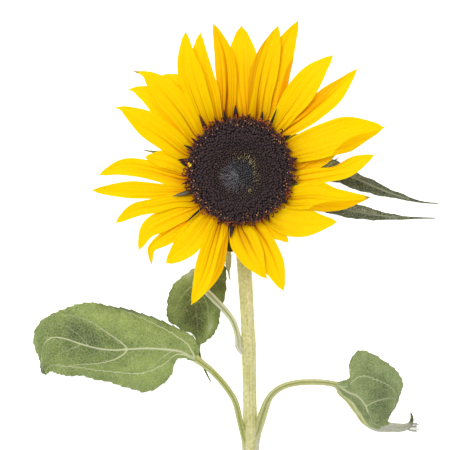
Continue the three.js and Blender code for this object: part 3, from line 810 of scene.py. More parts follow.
def leaf_paint(
    name, greens, other_face, vein, roughness=0.62, hairy=0.8, netted=0.22, stalk_tones=STALK_TONES
):
    paint = Paint(name, roughness=roughness, specular=0.2)
    place = paint.where()
    mottling = paint.noise(place, scale=0.16, detail=5.0)
    grain = paint.noise(place, scale=1.7, detail=3.0)
    wide_net = paint.net(place, 0.6)
    fine_net = paint.net(place, 1.5)
    terms = ((paint.mark("shade"), 1.0), (mottling, 0.6), (grain, hairy))
    shade = paint.total(*terms, start=-0.3 - hairy / 2)
    green = paint.ramp(shade, zip(FIVE_STOPS, greens))
    green = paint.blend(paint.total((fine_net, 0.2), (wide_net, netted)), green, colour(vein))
    green = paint.blend(paint.between(paint.mark("vein"), 0.15, 0.95), green, colour(vein))
    far_face = paint.ramp(shade, zip((0.2, 0.8), other_face))
    flat = paint.maths("SUBTRACT", 1.0, paint.mark("turned"))
    blade = paint.blend(paint.maths("MULTIPLY", paint.mark("upper"), flat), far_face, green)
    flecks = paint.total((paint.noise(paint.on_blade(0.07, 2.2), detail=2.0), 0.5), (grain, 0.5))
    stalk = paint.ramp(flecks, zip((0.3, 0.5, 0.7), stalk_tones))
    stalk = paint.blend(paint.mark("groove"), stalk, colour("#9aa244"))
    woolly = paint.between(paint.mark("along_mm"), 5.0, 15.0, 0.75, 0.0)
    stalk = paint.blend(woolly, stalk, paint.ramp(flecks, [(0.3, "#c9c6a6"), (0.6, "#e9e6d6")]))
    base = paint.blend(paint.mark("stalk"), blade, stalk)
    paint.relief(paint.total((wide_net, -0.4), (fine_net, -0.4), (grain, 0.5)), 0.3 * MM)
    return paint.finish(base, grain, roughness - 0.1, roughness + 0.12)


FRESH_PAINT = leaf_paint(
    "leaf_fresh",
    greens=("#43562a", "#6a7f3c", "#93a854", "#b0c466", "#cbd88e"),
    other_face=("#66754c", "#a8b28c"),
    vein="#e2e5b8",
)
DEEP_PAINT = leaf_paint(
    "leaf_deep",
    greens=("#3e4c28", "#627340", "#86995c", "#a4b478", "#d4d8a4"),
    other_face=("#a3a48c", "#dedccb"),
    vein="#d8dcb0",
    stalk_tones=("#b0b562", "#d3d498", "#efeed4"),
)
OLIVE_PAINT = leaf_paint(
    "leaf_olive",
    greens=("#383e17", "#57622a", "#7c8b46", "#9bad64", "#c6cfae"),
    other_face=("#8d9972", "#c4c9ae"),
    vein="#aeb57c",
    netted=0.25,
    stalk_tones=("#d2d794", "#eaecc4", "#f9f9e6"),
)
GREY_PAINT = leaf_paint(
    "leaf_grey",
    greens=("#1d2419", "#414a34", "#6b7356", "#a0a688", "#d0d3bb"),
    other_face=("#7c8268", "#a2a68c"),
    vein="#9a9e84",
    roughness=0.75,
    hairy=1.7,
    netted=0.14,
)

# %% [markdown]
# ## Veins
#
# Along a leaf, `u` runs from 0 where the blade starts to 1 where it ends. It is below 0 on the
# stalk, and above 1 on a tip so narrow that it is no longer flat. A side vein leaves the midrib at
# one `u` and reaches the margin at another, curving more and more towards the tip on the way,
# which a power of the share across gives. The distance from a point to such a curve, measured
# square to it, says how deep in the vein the point lies.

# %% Veins
def vein_map(u, side, reach, length, laterals, midrib):
    """How much each point lies on a vein, from 0 to 1, and how far off the nearest one is."""
    off = abs(side) * reach
    vein = midrib * bell(off, 0, MM * (0.7 - 0.35 * np.clip(u, 0, 1)))
    for start, end, flank, power, strength in laterals:
        share = np.clip(side * flank, 0, 1) * np.ones_like(u)
        curve = start + (end - start) * share**power
        slope = (end - start) * power * share ** (power - 1) * length / reach
        away = abs(u - curve) * length / np.sqrt(1 + slope**2)
        away = np.where(side * flank > 0, away, 1.0)
        strength = np.clip(strength * (1 - 0.65 * share), 0, 1)
        vein = np.maximum(vein, strength * bell(away, 0, MM * (0.46 - 0.24 * share)))
        off = np.minimum(off, away)
    return vein, off


# %% What sets single leaves apart
# grid is the rows and columns of the leaf's points. laterals are side veins as (u at the midrib,
# u at the margin, flank, power, strength), and midrib is the strength of the middle one. raised is
# 1 where the veins stand out of the face that shows, and -1 where they are sunk into it. patches
# are (u, side, size in u, size across, lighter or darker). teeth are how many the margin has and
# how deep they are in millimetres, and ruffle is how far the margins wave. turned is a stretch of
# margin that has turned over, as a petal's edge is. rolled is a flank that has rolled under, and
# shows the pale far face, as (flank, how far in, up to which u). ears are places where one flank
# swells, as (flank, place, size, right, up). nudges and stretch are those of the petals. slim
# makes the stalk thinner, and hug draws its foot closer to the stem, in millimetres.
LEAF_TRAITS = {
    "leaf_lower_left": {
        "paint": FRESH_PAINT,
        "grid": (250, 111),
        "raised": 1,
        "laterals": [
            (0.0, 0.42, -1, 2.6, 1.9), (0.16, 0.5, -1, 1.6, 0.5), (0.37, 0.78, -1, 1.5, 1.2),
            (0.58, 0.86, -1, 1.3, 0.7), (0.78, 0.97, -1, 1.2, 0.55), (0.26, 0.62, -1, 1.4, 0.4),
            (0.48, 0.8, -1, 1.4, 0.4), (0.68, 0.92, -1, 1.2, 0.4),
            (0.03, 1.85, 1, 3.0, 1.5), (0.1, 0.47, 1, 1.0, 0.7), (0.37, 0.9, 1, 1.5, 1.1),
            (0.24, 0.66, 1, 1.4, 0.4), (0.5, 0.96, 1, 1.4, 0.4), (0.62, 1.0, 1, 1.3, 0.6),
            (0.8, 1.0, 1, 1.2, 0.5),
        ],
        "patches": [
            (0.63, -0.3, 0.14, 0.35, -0.27), (0.5, 0.15, 0.12, 0.3, -0.16),
            (0.3, 0.35, 0.14, 0.3, 0.12), (0.3, -0.5, 0.2, 0.3, 0.1), (0.85, -0.1, 0.2, 0.9, -0.06),
            (0.22, 0.75, 0.16, 0.35, 0.1), (0.55, -0.7, 0.16, 0.12, 0.1), (0.42, -0.2, 0.08, 0.2, -0.1),
            (1.01, 0.0, 0.035, 2.0, -1.2), (0.5, 0.0, 5.0, 5.0, -0.05),
        ],
        "teeth": (23, 0.8),
        "ruffle": 0.9,
        "turned": (-1, 0.03, 0.5, 0.07),
        "ears": [(1, 0.75, 0.25, -0.2, -0.8), (-1, 0.02, 0.06, 2.4, 0.3)],
        "hug": 3.0,
    },
    "leaf_lower_right": {
        "paint": DEEP_PAINT,
        "grid": (220, 89),
        "raised": -1,
        "laterals": [
            (0.0, 1.02, 1, 1.3, 1.3), (0.1, 0.34, 1, 1.2, 0.4), (0.3, 0.6, 1, 1.1, 0.3),
            (0.52, 0.8, 1, 1.15, 0.9), (0.7, 0.95, 1, 1.1, 0.5), (0.2, 0.5, -1, 1.2, 0.5),
            (0.45, 0.75, -1, 1.2, 0.4), (-0.02, 0.17, 1, 2.2, 1.3),
        ],
        "patches": [
            (0.58, 0.38, 0.16, 0.25, -0.28), (0.8, 0.3, 0.14, 0.3, -0.16), (0.15, 0.7, 0.12, 0.3, 0.12),
            (0.6, 0.85, 0.2, 0.15, 0.1), (0.05, 0.3, 0.1, 0.3, 0.08), (0.4, 0.1, 0.6, 0.5, 0.08),
            (0.45, -0.35, 0.25, 0.25, -0.25),
            (0.3, -0.95, 0.35, 0.45, 0.3), (0.7, -0.95, 0.3, 0.45, 0.3), (1.55, 0.0, 0.12, 2.0, -1.2),
        ],
        "teeth": (19, 0.7),
        "ruffle": 0.5,
        "rolled": (-1, 0.62, 0.85),
        "ears": [(1, 0.84, 0.08, 2.0, -0.6)],
        "nudges": [(-0.5, 0.6, 0.0, 0.3), (0.3, 0.35, 0.6, 0.0)],
        "hug": 3.3,
    },
    "leaf_middle_left": {
        "paint": OLIVE_PAINT,
        "grid": (190, 81),
        "raised": -1,
        "laterals": [
            (0.02, 0.6, 1, 1.7, 0.7), (0.3, 0.85, 1, 1.5, 0.6), (0.55, 0.95, 1, 1.3, 0.5),
            (0.0, 0.75, -1, 1.4, 1.1), (0.0, 0.3, -1, 1.6, 0.6), (0.2, 0.95, -1, 1.3, 0.7),
            (0.5, 1.0, -1, 1.2, 0.5), (0.1, 0.85, -1, 1.3, 0.4), (0.1, 1.62, 1, 1.47, 1.2),
        ],
        "midrib": 0.45,
        "patches": [
            (0.05, -0.9, 0.14, 0.3, 0.6), (0.54, -0.1, 0.28, 0.36, -0.5), (0.66, 0.62, 0.2, 0.24, 0.4),
            (0.15, 0.5, 0.15, 0.4, -0.2), (0.93, 0.3, 0.07, 0.4, 0.2), (0.4, -0.75, 0.2, 0.2, 0.06),
        ],
        "teeth": (15, 0.7),
        "ruffle": 0.8,
        "nudges": [(-0.06, 0.16, 2.6, 0.3)],
        "ears": [(-1, 0.02, 0.06, 2.0, 4.6)],
        "slim": 0.86,
        "hug": 0.5,
    },
    "leaf_upper_right": {
        "paint": GREY_PAINT,
        "grid": (170, 49),
        "raised": 1,
        "laterals": [
            (0.05, 0.45, 1, 1.3, 0.5), (0.3, 0.7, 1, 1.3, 0.5),
            (0.05, 0.5, -1, 1.3, 0.5), (0.35, 0.75, -1, 1.3, 0.5),
        ],
        "patches": [
            (0.25, 0.4, 0.12, 0.6, 0.14), (0.6, -0.4, 0.2, 0.4, -0.14), (0.45, 0.5, 0.1, 0.4, 0.12),
        ],
        "teeth": (13, 0.2),
        "ruffle": 0.5,
        "stretch": 2.6,
    },
    "leaf_upper_right_small": {
        "paint": GREY_PAINT,
        "grid": (150, 41),
        "raised": 1,
        "laterals": [(0.05, 0.45, 1, 1.3, 0.5), (0.1, 0.5, -1, 1.3, 0.5), (0.45, 0.8, -1, 1.3, 0.5)],
        "patches": [(0.35, 0.0, 0.2, 0.5, -0.12), (0.6, 0.3, 0.2, 0.4, 0.2)],
        "teeth": (11, 0.2),
        "ruffle": 0.4,
        "stretch": 2.2,
    },
    "leaf_small": {
        "paint": DEEP_PAINT,
        "grid": (70, 21),
        "raised": 1,
        "laterals": [],
        "patches": [(0.3, 0.0, 0.3, 0.6, 0.1), (0.5, 0.0, 2.0, 4.0, 0.5)],
        "teeth": (3, 0.2),
        "ruffle": 0.2,
    },
}


# %% Joining a stalk to the stem
STALK_FOOT, STALK_PULLED = 8, 22  # in millimetres from where the stalk starts


def rooted(lines, depths, hug, rows=16):
    """A stalk's lines, drawn close to the stem, thickened there and carried on down into it."""
    far_on = lengths(lines[:, 0]) / MM
    side_of_stem = np.sign(stem_rings[0, :, 0].mean() - lines[0, 0, 0])
    closer = hug * MM * (1 - ease(far_on, 0, STALK_PULLED)) * side_of_stem
    lines = lines + closer[:, None, None] * np.array([1.0, 0.0, 0.0])
    width = half_widths(lines)
    thicker = width[np.argmax(far_on > STALK_FOOT)] * (1 + 0.35 * (1 - ease(far_on, 0, STALK_FOOT)))
    factor = np.where(far_on < STALK_FOOT, thicker / width[:, 0], 1.0)
    lines, depths = widened(lines, factor[:, None]), depths * factor
    foot = lines[0, 0]
    across = (lines[0, 1] - lines[0, 2]) / 2
    # it goes in towards the middle of the stem, 4 mm lower down, where the stem lies on the table
    axis = stem_rings.mean(axis=1)
    axis = axis[np.argmin(abs(axis[:, 1] - foot[1] + 4 * MM) + (axis[:, 2] > 12 * MM))]
    on = np.linspace(1, 0, rows, endpoint=False)[:, None]
    middle = foot + on**1.3 * 0.75 * (axis - foot) + on * np.array([0, -4 * MM, 0]) * (1 - 0.3 * on)
    swelling = 1 + 0.2 * np.sin(math.pi * on) - 0.3 * on
    root = np.stack([middle, middle + across * swelling, middle - across * swelling], axis=1)
    return np.concatenate([root, lines]), np.concatenate([depths[0] * swelling[:, 0], depths])


# %% The outline of a leaf
def leaf_rows(node, traits):
    """A leaf's three lines, and what there is to know about each of its rows.

    flat is 0 on the stalk and 1 on the blade, reach how far the two margins are from the midrib,
    travelled how far the row is from the foot, and length that of the blade alone.
    """
    start = read_blade(node, traits["grid"][0], from_stem)
    lines, depths = rooted(*start, traits.get("hug", 0.0))
    reach = np.linalg.norm(lines[:, 1:] - lines[:, :1], axis=2)
    flat = ease(reach.sum(axis=1) / depths, 1.7, 4.0)[:, None]
    travelled = lengths(lines[:, 0])[:, None]
    on_blade = travelled[flat > 0.3]
    length = on_blade[-1] - on_blade[0]
    u = (travelled - on_blade[0]) / length
    slimmer = 1 - (1 - traits.get("slim", 1.0)) * (1 - flat) * (u < 0.5)
    lines = nudged(widened(lines, slimmer), u, traits)
    lines = stretched(lines, u, 0.75, traits.get("stretch", 0.0))
    depths = depths[:, None] * slimmer
    row = SimpleNamespace(
        u=u, flat=flat, reach=reach, travelled=travelled, length=length, depths=depths
    )
    return lines, row


def toothed(lines, row, traits):
    """A leaf's lines with teeth along its margins, except along a flank that has rolled under."""
    count, depth = traits["teeth"]
    for k, shift, flank in ((1, 0.0, 1), (2, 0.37, -1)):
        if flank != traits.get("rolled", (0,))[0]:
            tooth = ((row.u * count + shift + 0.25 * np.sin(9 * row.u)) % 1) ** 1.6 - 0.4
            aside = (lines[:, k] - lines[:, 0]) / np.maximum(row.reach[:, k - 1 : k], 1e-6)
            lines[:, k] += aside * depth * MM * tooth * row.flat
    return lines


# %% The relief and thickness of a leaf
def leaf_lift(row, side, reach, vein, off, traits):
    """How far each point is lifted: an arch with sunk veins, bulges between them and wavy edges."""
    arch = 0.4 * abs(side) * (1 - abs(side)) * reach
    bulge = MM * (1 - bell(off, 0, 2.2 * MM))
    waves = np.sin(row.u * 26 + 1.3 + np.sign(side)) + 0.6 * np.sin(row.u * 47 + 2 * np.sign(side))
    waving = side * traits.get("rolled", (0,))[0] <= 0
    ruffle = traits["ruffle"] * MM * abs(side) ** 4 * waves * waving
    lift = row.flat * (arch + 0.45 * bulge + ruffle * ease(row.u, 0.0, 0.15))
    return lift - 0.2 * MM * (traits["raised"] < 0) * vein * row.flat


def leaf_thickness(row, side, reach, vein, groove):
    """A round stalk with a groove on top, and a thin blade with a rib along its middle."""
    stalk = row.depths * np.sqrt(1 - side**2) * (1 - 0.3 * groove)
    u = np.clip(row.u, 0, 1)
    rib = 0.9 * row.depths * bell(side * reach, 0, 1.1 * MM) * (1 - 0.7 * u)
    blade = (MM * (0.4 + 0.7 * vein * (1.2 - u)) + rib) * (1 - 0.7 * abs(side) ** 10)
    return np.maximum(stalk * (1 - row.flat) + blade * row.flat, 0.03 * MM)


# %% Building a leaf
def leaf(node, traits):
    lines, row = leaf_rows(node, traits)
    u, flat = row.u, row.flat
    side = steps_across(traits["grid"][1])
    reach = np.where(side > 0, row.reach[:, :1], row.reach[:, 1:])
    grid = spread(toothed(lines, row, traits), side, hollow=1)
    for flank, place, size, right, up in traits.get("ears", []):
        lobe = bell(u, place, size) * np.clip(side * flank, 0, 1) ** 1.5 * flat
        grid = grid + np.array([right, up, 0]) * MM * lobe[..., None]
    midrib = traits.get("midrib", 1.0)
    vein, off = vein_map(u, side, reach, row.length, traits["laterals"], midrib)
    lift = leaf_lift(row, side, reach, vein, off, traits)
    groove = bell(side, 0, 0.3)
    stalk = (1 - ease(flat, 0.0, 0.9)) * (u < 0.5)
    line, turned = 0.0, 0.0
    if "turned" in traits:
        past, there = turned_margin(u, side, traits["turned"], 0.6)
        turned = ease(past, -0.01, 0.03) * there * flat
        lift = lift + np.clip(past, 0, 1) * reach * 1.1 * there * flat
    if "rolled" in traits:
        # this flank is as pale as the stalk, with a greener line, and its end shows the far face
        flank, breadth, until = traits["rolled"]
        inwards = side * flank
        line = 0.8 * bell(inwards, 0.75, 0.09) * ease(u, 0.0, 0.1)
        pale = ease(inwards, 1 - breadth, 1.15 - breadth) * (1 - ease(u, until - 0.2, until))
        stalk = np.maximum(stalk, pale)
        fold = 0.45 - 1.7 * ease(u, 0.9, 1.12)
        curled = ease(inwards, fold - 0.1, fold + 0.1) * (1 - ease(inwards, 0.7, 0.9) * (u > 1.15))
        turned = curled * ease(u, 0.74, 0.9) * (1 - ease(u, 1.38, 1.44))
    shade = 0.5 + np.random.default_rng(len(node)).uniform(-0.02, 0.02)
    for place, across, size, breadth, change in traits["patches"]:
        shade = shade + change * bell(u, place, size) * bell(side, across, breadth)
    marks = {
        "shade": shade,
        "vein": vein * flat,
        "stalk": stalk,
        "groove": np.maximum(0.75 * groove * (u < 0), line),
        "turned": turned,
        "along_mm": row.travelled / MM,
        "across_mm": side * reach / MM,
        "seed": float(len(node)),
    }
    thickness = leaf_thickness(row, side, reach, vein, groove)
    blade = thin_sheet(node + "_blade", grid + outward(grid) * lift[..., None], thickness, marks)
    return dress(blade, traits["paint"], "leaf", node)


leaves = [leaf(node, traits) for node, traits in LEAF_TRAITS.items()]
print("leaves:", [len(piece.data.vertices) for piece in leaves])

# %% [markdown]
# ## Many copies of one small thing
#
# Hairs and florets come in hundreds, so each kind is made once, as a small template that stands
# on the origin, and then copied in one go with arrays. The templates are tubes swept along a path
# and closed to a point at both ends. All the copies of a kind become one mesh, which keeps the
# scene light and leaves every copy as real geometry.

# %% A swept template, and its copies
def swept(path, radii, sides):
    """A tapering tube along a path in the plane of x and z, as points and triangles."""
    path = np.array(path, float)
    radii = np.array(radii, float).reshape(len(path), -1, 1)
    aside = np.broadcast_to([0.0, 1.0, 0.0], path.shape)[:, None]
    steep = np.cross(aside, unit(np.gradient(path, axis=0))[:, None])
    turn = np.arange(sides)[None, :, None] * 2 * math.pi / sides
    rings = path[:, None] + radii * (np.cos(turn) * steep + np.sin(turn) * aside)
    points = np.concatenate([path[:1], rings.reshape(-1, 3), path[-1:]])
    index = 1 + np.arange(len(path) * sides).reshape(len(path), sides)
    after = np.roll(index, -1, axis=1)
    foot, tip = np.zeros_like(index[0]), np.full_like(index[0], len(points) - 1)
    walls = [
        np.stack([index[:-1], after[:-1], after[1:]], axis=-1).reshape(-1, 3),
        np.stack([index[:-1], after[1:], index[1:]], axis=-1).reshape(-1, 3),
    ]
    ends = [
        np.stack([foot, after[0], index[0]], axis=-1),
        np.stack([tip, index[-1], after[-1]], axis=-1),
    ]
    return points, np.concatenate(walls + ends)


def scatter(name, template, places, ups, leans, sizes, paint, slot, **marks):
    """One piece of a template's copies. Each stands along its up, with its x towards its lean.

    sizes are one for each copy, or three: thickness, width and length, in metres. marks hold a
    value for each copy. The mark `tip` runs from 0 at a copy's foot to 1 at its tip.
    """
    points, triangles = template
    aside = unit(np.cross(ups, leans))
    axes = np.stack([np.cross(aside, ups), aside, ups], axis=1)
    vertices = places[:, None] + points * np.reshape(sizes, (len(places), 1, -1)) @ axes
    faces = triangles + (np.arange(len(places)) * len(points))[:, None, None]
    every = {mark: np.repeat(values, len(points)) for mark, values in marks.items()}
    every["tip"] = np.tile(points[:, 2] / points[:, 2].max(), len(places))
    piece = make_mesh(name, vertices.reshape(-1, 3), faces.reshape(-1, 3), every)
    print(name, "has", len(places), "copies of", len(triangles), "triangles")
    return dress(piece, paint, slot)


# %% [markdown]
# ## Hairs of the stem
#
# The stem feels like sandpaper because of short stiff hairs that stand straight out of it. Each
# one is a thin spike on a point of the stem's skin, along the direction out of it.

# %% Hairs of the stem
HAIRS = 2600
hair = swept([(0, 0, 0), (0.04, 0, 0.5), (0.12, 0, 1)], [0.05, 0.035, 0.005], 3)
hair_random = np.random.default_rng(41)
stem_rows, stem_points = stem_rings.shape[:2]
row = hair_random.integers(2, stem_rows - 30, HAIRS)
point = hair_random.integers(0, stem_points, HAIRS)
feet = stem_rings[row, point]
up = unit(stem_out[row, point] + hair_random.normal(0, 0.22, (HAIRS, 3)))
long = hair_random.uniform(0.6, 1.5, HAIRS) * MM
fits = feet[:, 2] + up[:, 2] * long > 0.1 * MM  # and does not go through the table
hair_paint = speckled(
    "stem_hair", 0.5, 0.3, 2, 0.02, [(0.3, "#cfd0a4"), (0.7, "#f0efda")], detail=1.0
)
scatter("stem_hairs", hair, feet[fits], up[fits], [0.1, 1.0, 0.2], long[fits], hair_paint, "stem")

# %% [markdown]
# ## The bed of the disc
#
# The florets of the disc stand on a low dome with a hollow in its middle. They are packed along a
# Fermat spiral: each new floret is one golden angle further round and a little further out, so
# that all of them get the same room. This is how the plant itself does it.

# %% The bed of the disc
# Shares of the disc's radius, and how high the disc is there as a share of its own height.
DISC_PROFILE = np.array([
    (0, 0.75), (0.2, 0.8), (0.4, 0.925), (0.62, 1.0), (0.83, 0.885), (0.954, 0.63), (1.0, 0.33),
    (1.04, 0.1),
])
FLORET_HEIGHT = 2.5 * MM
BED_RINGS, BED_AROUND = 34, 96


def bed_height(far):
    """How high the bed of the disc is above its foot, at a distance from its middle."""
    share = np.asarray(far) / disc_radius
    row = np.interp(share, DISC_PROFILE[:, 0], np.arange(len(DISC_PROFILE)))
    read = read_between(DISC_PROFILE, row)[..., 1]
    return np.maximum(read * disc_rise - FLORET_HEIGHT, 0.2 * MM)


def round_the_head(far, turn, height):
    """Places at distances from the middle of the head, at angles in radians, at heights above it."""
    return head + np.stack([far * np.cos(turn), far * np.sin(turn), height * np.ones_like(far)], axis=-1)


def disc_bed():
    far = np.linspace(0, disc_radius - 0.3 * MM, BED_RINGS)[:, None] * np.ones(BED_AROUND)
    turn = np.linspace(0, 2 * math.pi, BED_AROUND, endpoint=False)
    domed = round_the_head(far, turn, bed_height(far[:, 0])[:, None])
    rings = np.concatenate([domed, round_the_head(far[::-1], turn, 0.0)])
    index = np.arange(rings[..., 0].size).reshape(rings.shape[:2])
    return rings.reshape(-1, 3), tube_faces(index)[:, ::-1]


# %% [markdown]
# ## Floret paint
#
# The florets are nearly black with a little purple, and here and there they are rusty, olive or
# grey. A paint for each colour would show hard steps from one floret to the next. So there is one
# kind of paint, and the marks `rust`, `olive` and `pale` of a copy blend the other colours in.
# Painted light and shade make each copy lighter towards its tip and darker at its foot.

# %% Floret paint
def floret_paint(name, dark, light):
    paint = Paint(name, roughness=0.6, specular=0.25)
    grain = paint.noise(paint.where(2.4), detail=3.0)
    # painted light and shade: lighter towards the tip, darker at the foot down among the others
    tone = paint.total((grain, 0.6), (paint.mark("tip"), 0.5))
    body = paint.ramp(tone, [(0.2, dark), (0.9, light)])
    for mark, stops in (
        ("rust", [(0.3, "#3a0e14"), (0.6, "#6a1f1a"), (0.85, "#cf6a3a")]),
        ("olive", [(0.3, "#55492c"), (0.7, "#d6c684")]),
        ("pale", [(0.2, "#24272a"), (0.9, "#6c6f74")]),
    ):
        body = paint.blend(paint.mark(mark), body, paint.ramp(tone, stops))
    paint.relief(grain, 0.12 * MM)
    return paint.finish(body, grain, 0.5, 0.75)


FLORET_PAINT = floret_paint("disc_floret", "#0b0709", "#5c474a")
SPIKE_PAINT = floret_paint("disc_spike", "#0d0809", "#8c6f6a")
STIGMA_PAINT = floret_paint("stigma", "#1a0c0e", "#462321")
RIM_PAINT = floret_paint("rim_point", "#0e0a08", "#352a24")
bed_vertices, bed_faces = disc_bed()
plain = {mark: np.zeros(len(bed_vertices)) for mark in ("rust", "olive", "pale", "tip")}
bed = make_mesh("disc_bed", bed_vertices, bed_faces, plain)
dress(bed, FLORET_PAINT, "floret", "disc_florets")
print("bed:", len(bed_faces), "faces")

# %% [markdown]
# ## Florets
#
# Florets open from the rim inwards. The outer ones are open tubes with five lobes, each holding a
# dark column of anthers. Further in they are closed buds, and in the young middle they are small
# and hidden under pale hair. Each has a stiff pointed scale at its outer side.

# %% The spiral, and how each floret stands
COUNT = 1450
GOLDEN_ANGLE = math.pi * (3 - math.sqrt(5))
disc_random = np.random.default_rng(12)
far = (disc_radius - 1.5 * MM) * np.sqrt((np.arange(COUNT) + 0.5) / COUNT)
around = np.arange(COUNT) * GOLDEN_ANGLE
far = abs(far + disc_random.normal(0, 0.12 * MM, COUNT))
around = around + disc_random.normal(0, 0.12 * MM, COUNT) / far
x_mm, y_mm = far * np.cos(around) / MM, far * np.sin(around) / MM
places = round_the_head(far, around, bed_height(far))
radial = level(around)


def standing(far, around, lean):
    """The direction a floret stands in: out of the bed, and leaning outwards by some degrees."""
    step = 0.2 * MM
    slope = (bed_height(far + step) - bed_height(np.maximum(far - step, 0))) / (2 * step)
    slope = np.clip(slope, -0.6, 0.6)[:, None]
    normal, downhill = unit(UP - slope * level(around)), unit(level(around) + slope * UP)
    lean = np.radians(lean)[:, None]
    return np.cos(lean) * normal + np.sin(lean) * downhill


lean = 4 + 30 * ease(far / disc_radius, 0.6, 0.95) + disc_random.normal(0, 9, COUNT)
ups = standing(far, around, lean)
apart = far[-1] / MM * math.sqrt(math.pi / COUNT)
print("florets:", COUNT, "about", round(apart, 2), "mm apart")

# %% Which are open, budding and young
# glow is how rusty a floret is, at the rim. olive is how bright its scale is, in a ring round the
# eye of the disc. middle is how pale it is, in the middle.
OPEN_FROM, YOUNG_UP_TO = 15.5, 7.0  # in millimetres from the middle of the disc
openness = far / MM + disc_random.normal(0, 0.7, COUNT)
is_open = openness > OPEN_FROM
is_young = openness < YOUNG_UP_TO
is_bud = ~is_open & ~is_young
rim = disc_radius / MM
glow = ease(far / MM, rim - 4, rim - 1.5) * disc_random.uniform(0, 1, COUNT) ** 2
eye = np.array([-1.1, -2.6])
from_eye, turn_eye = np.hypot(x_mm - eye[0], y_mm - eye[1]), np.arctan2(y_mm - eye[1], x_mm - eye[0])
ring = bell(from_eye, 10.5, 2.2) * (0.3 + 0.7 * ease(np.cos(turn_eye - 0.25), -0.3, 0.6))
olive = ring * disc_random.uniform(0.0, 1.0, COUNT) ** 0.7
middle = 1 - ease(np.hypot(x_mm - 0.5, y_mm + 2.0), 4.0, 10.0)
print("open:", is_open.sum(), "buds:", is_bud.sum(), "young:", is_young.sum())

# %% Open florets, buds and young florets
ROUND = np.ones(10)
LOBES = np.where(np.arange(10) % 2 == 0, 1.0, 0.5)
open_floret = swept(
    [(0, 0, height) for height in (0, 1.5, 2.1, 2.35, 2.2, 2.9, 3.3)],
    [0.34 * ROUND, 0.46 * ROUND, 0.56 * ROUND, 0.95 * LOBES, 0.3 * LOBES, 0.22 * ROUND, 0.12 * ROUND],
    10,
)
bud = swept([(0, 0, height) for height in (0, 1.2, 1.9, 2.3, 2.5)], [0.5, 0.62, 0.5, 0.24, 0.05], 6)


def at_random_turns(count):
    """Directions on the level, for florets that face any way."""
    return level(disc_random.uniform(0, 2 * math.pi, count), 0.01)


def florets(name, template, which, size, rust, olive, pale):
    """A piece of florets of one kind, at the chosen places of the spiral."""
    count = which.sum()
    sizes = size * MM * disc_random.uniform(0.88, 1.12, count)
    marks = {"rust": rust[which], "olive": olive[which], "pale": pale[which]}
    facing = at_random_turns(count)
    scatter(name, template, places[which], ups[which], facing, sizes, FLORET_PAINT, "floret", **marks)


none = np.zeros(COUNT)
speck = disc_random.uniform(0, 1, COUNT) ** 7
florets("open_florets", open_floret, is_open, 0.84, 0.5 * glow, none, none)
florets("floret_buds", bud, is_bud, 0.8, none, 0.15 * olive, 0.5 * middle)
florets("young_florets", bud, is_young, 0.74, none, none, 0.8 * middle)

# %% Scales between the florets
# There is one at the outer side of every floret, but for the very middle.
spike = swept([(0, 0, 0), (0.05, 0, 0.4), (0.1, 0, 0.75), (0.12, 0, 1.0)], [0.5, 0.6, 0.35, 0.02], 4)
which = far > 3.5 * MM
count = which.sum()
bright = olive[which] > 0.5
up = ups[which] + disc_random.normal(0, 0.36, (count, 3)) * np.array([1, 1, 0])
up = unit(up - 1.6 * bright[:, None] * level(turn_eye[which]))
long = disc_random.uniform(2.2, 3.1, count) * (1 - 0.25 * is_young[which])
wide = disc_random.uniform(0.22, 0.36, count) + 0.14 * bright
scatter(
    "floret_scales", spike, places[which] + radial[which] * 0.5 * MM, up, radial[which],
    np.stack([0.5 * wide, wide, long], axis=1) * MM, SPIKE_PAINT, "floret",
    rust=0.35 * glow[which], pale=0.45 * middle[which],
    olive=np.maximum(ease(olive, 0.42, 0.56), 0.8 * speck)[which],
)

# %% [markdown]
# ## Stigmas, pollen and hair
#
# From about half of the outermost florets the two arms of a stigma curl out, dark red against the
# petals, and grains of orange pollen lie among them. Fine pale hairs lie over the young middle,
# and all of them point to its eye, which is a little off the middle of the disc.

# %% Stigmas
arm = swept(
    [(0, 0, 2.9), (0.3, 0, 3.5), (0.7, 0, 3.75), (1.05, 0, 3.6), (1.15, 0, 3.25), (0.95, 0, 3.1)],
    [0.18, 0.24, 0.27, 0.28, 0.26, 0.12],
    5,
)
outer = ease(far, disc_radius - 4.5 * MM, disc_radius - 2.0 * MM)
which = np.flatnonzero(disc_random.uniform(0, 1, COUNT) < 0.55 * outer)
facing = at_random_turns(len(which))
facing = np.concatenate([facing, -facing])
twice = np.concatenate([which, which])
sizes = MM * disc_random.uniform(0.8, 1.3, len(twice))
rust = disc_random.uniform(0, 1, COUNT)[twice] ** 1.5
up = unit(ups[twice] + disc_random.normal(0, 0.16, (len(twice), 3)) * np.array([1, 1, 0]))
marks = {"rust": rust, "olive": none[twice], "pale": none[twice]}
scatter("stigmas", arm, places[twice], up, facing, sizes, STIGMA_PAINT, "floret", **marks)

# %% Pollen
GRAINS = 130
grain = swept([(0, 0, 0), (0, 0, 0.5), (0, 0, 1)], [0.35, 0.55, 0.3], 5)
out = disc_radius - 1.2 * MM - MM * abs(disc_random.normal(0.0, 1.3, GRAINS))
turn = disc_random.uniform(0, 2 * math.pi, GRAINS)
at = round_the_head(out, turn, bed_height(out) + MM * disc_random.uniform(1.2, 3.0, GRAINS))
sizes = MM * disc_random.uniform(0.35, 0.7, GRAINS)
up = unit(at_random_turns(GRAINS) + 0.8 * UP)
pollen_tones = [(0.35, "#b4502c"), (0.5, "#dd8a48"), (0.65, "#f4cfa0")]
pollen_paint = speckled("pollen", 0.8, 0.1, 3, 0.05, pollen_tones, detail=1.0)
scatter("pollen", grain, at, up, at_random_turns(GRAINS), sizes, pollen_paint, "floret")

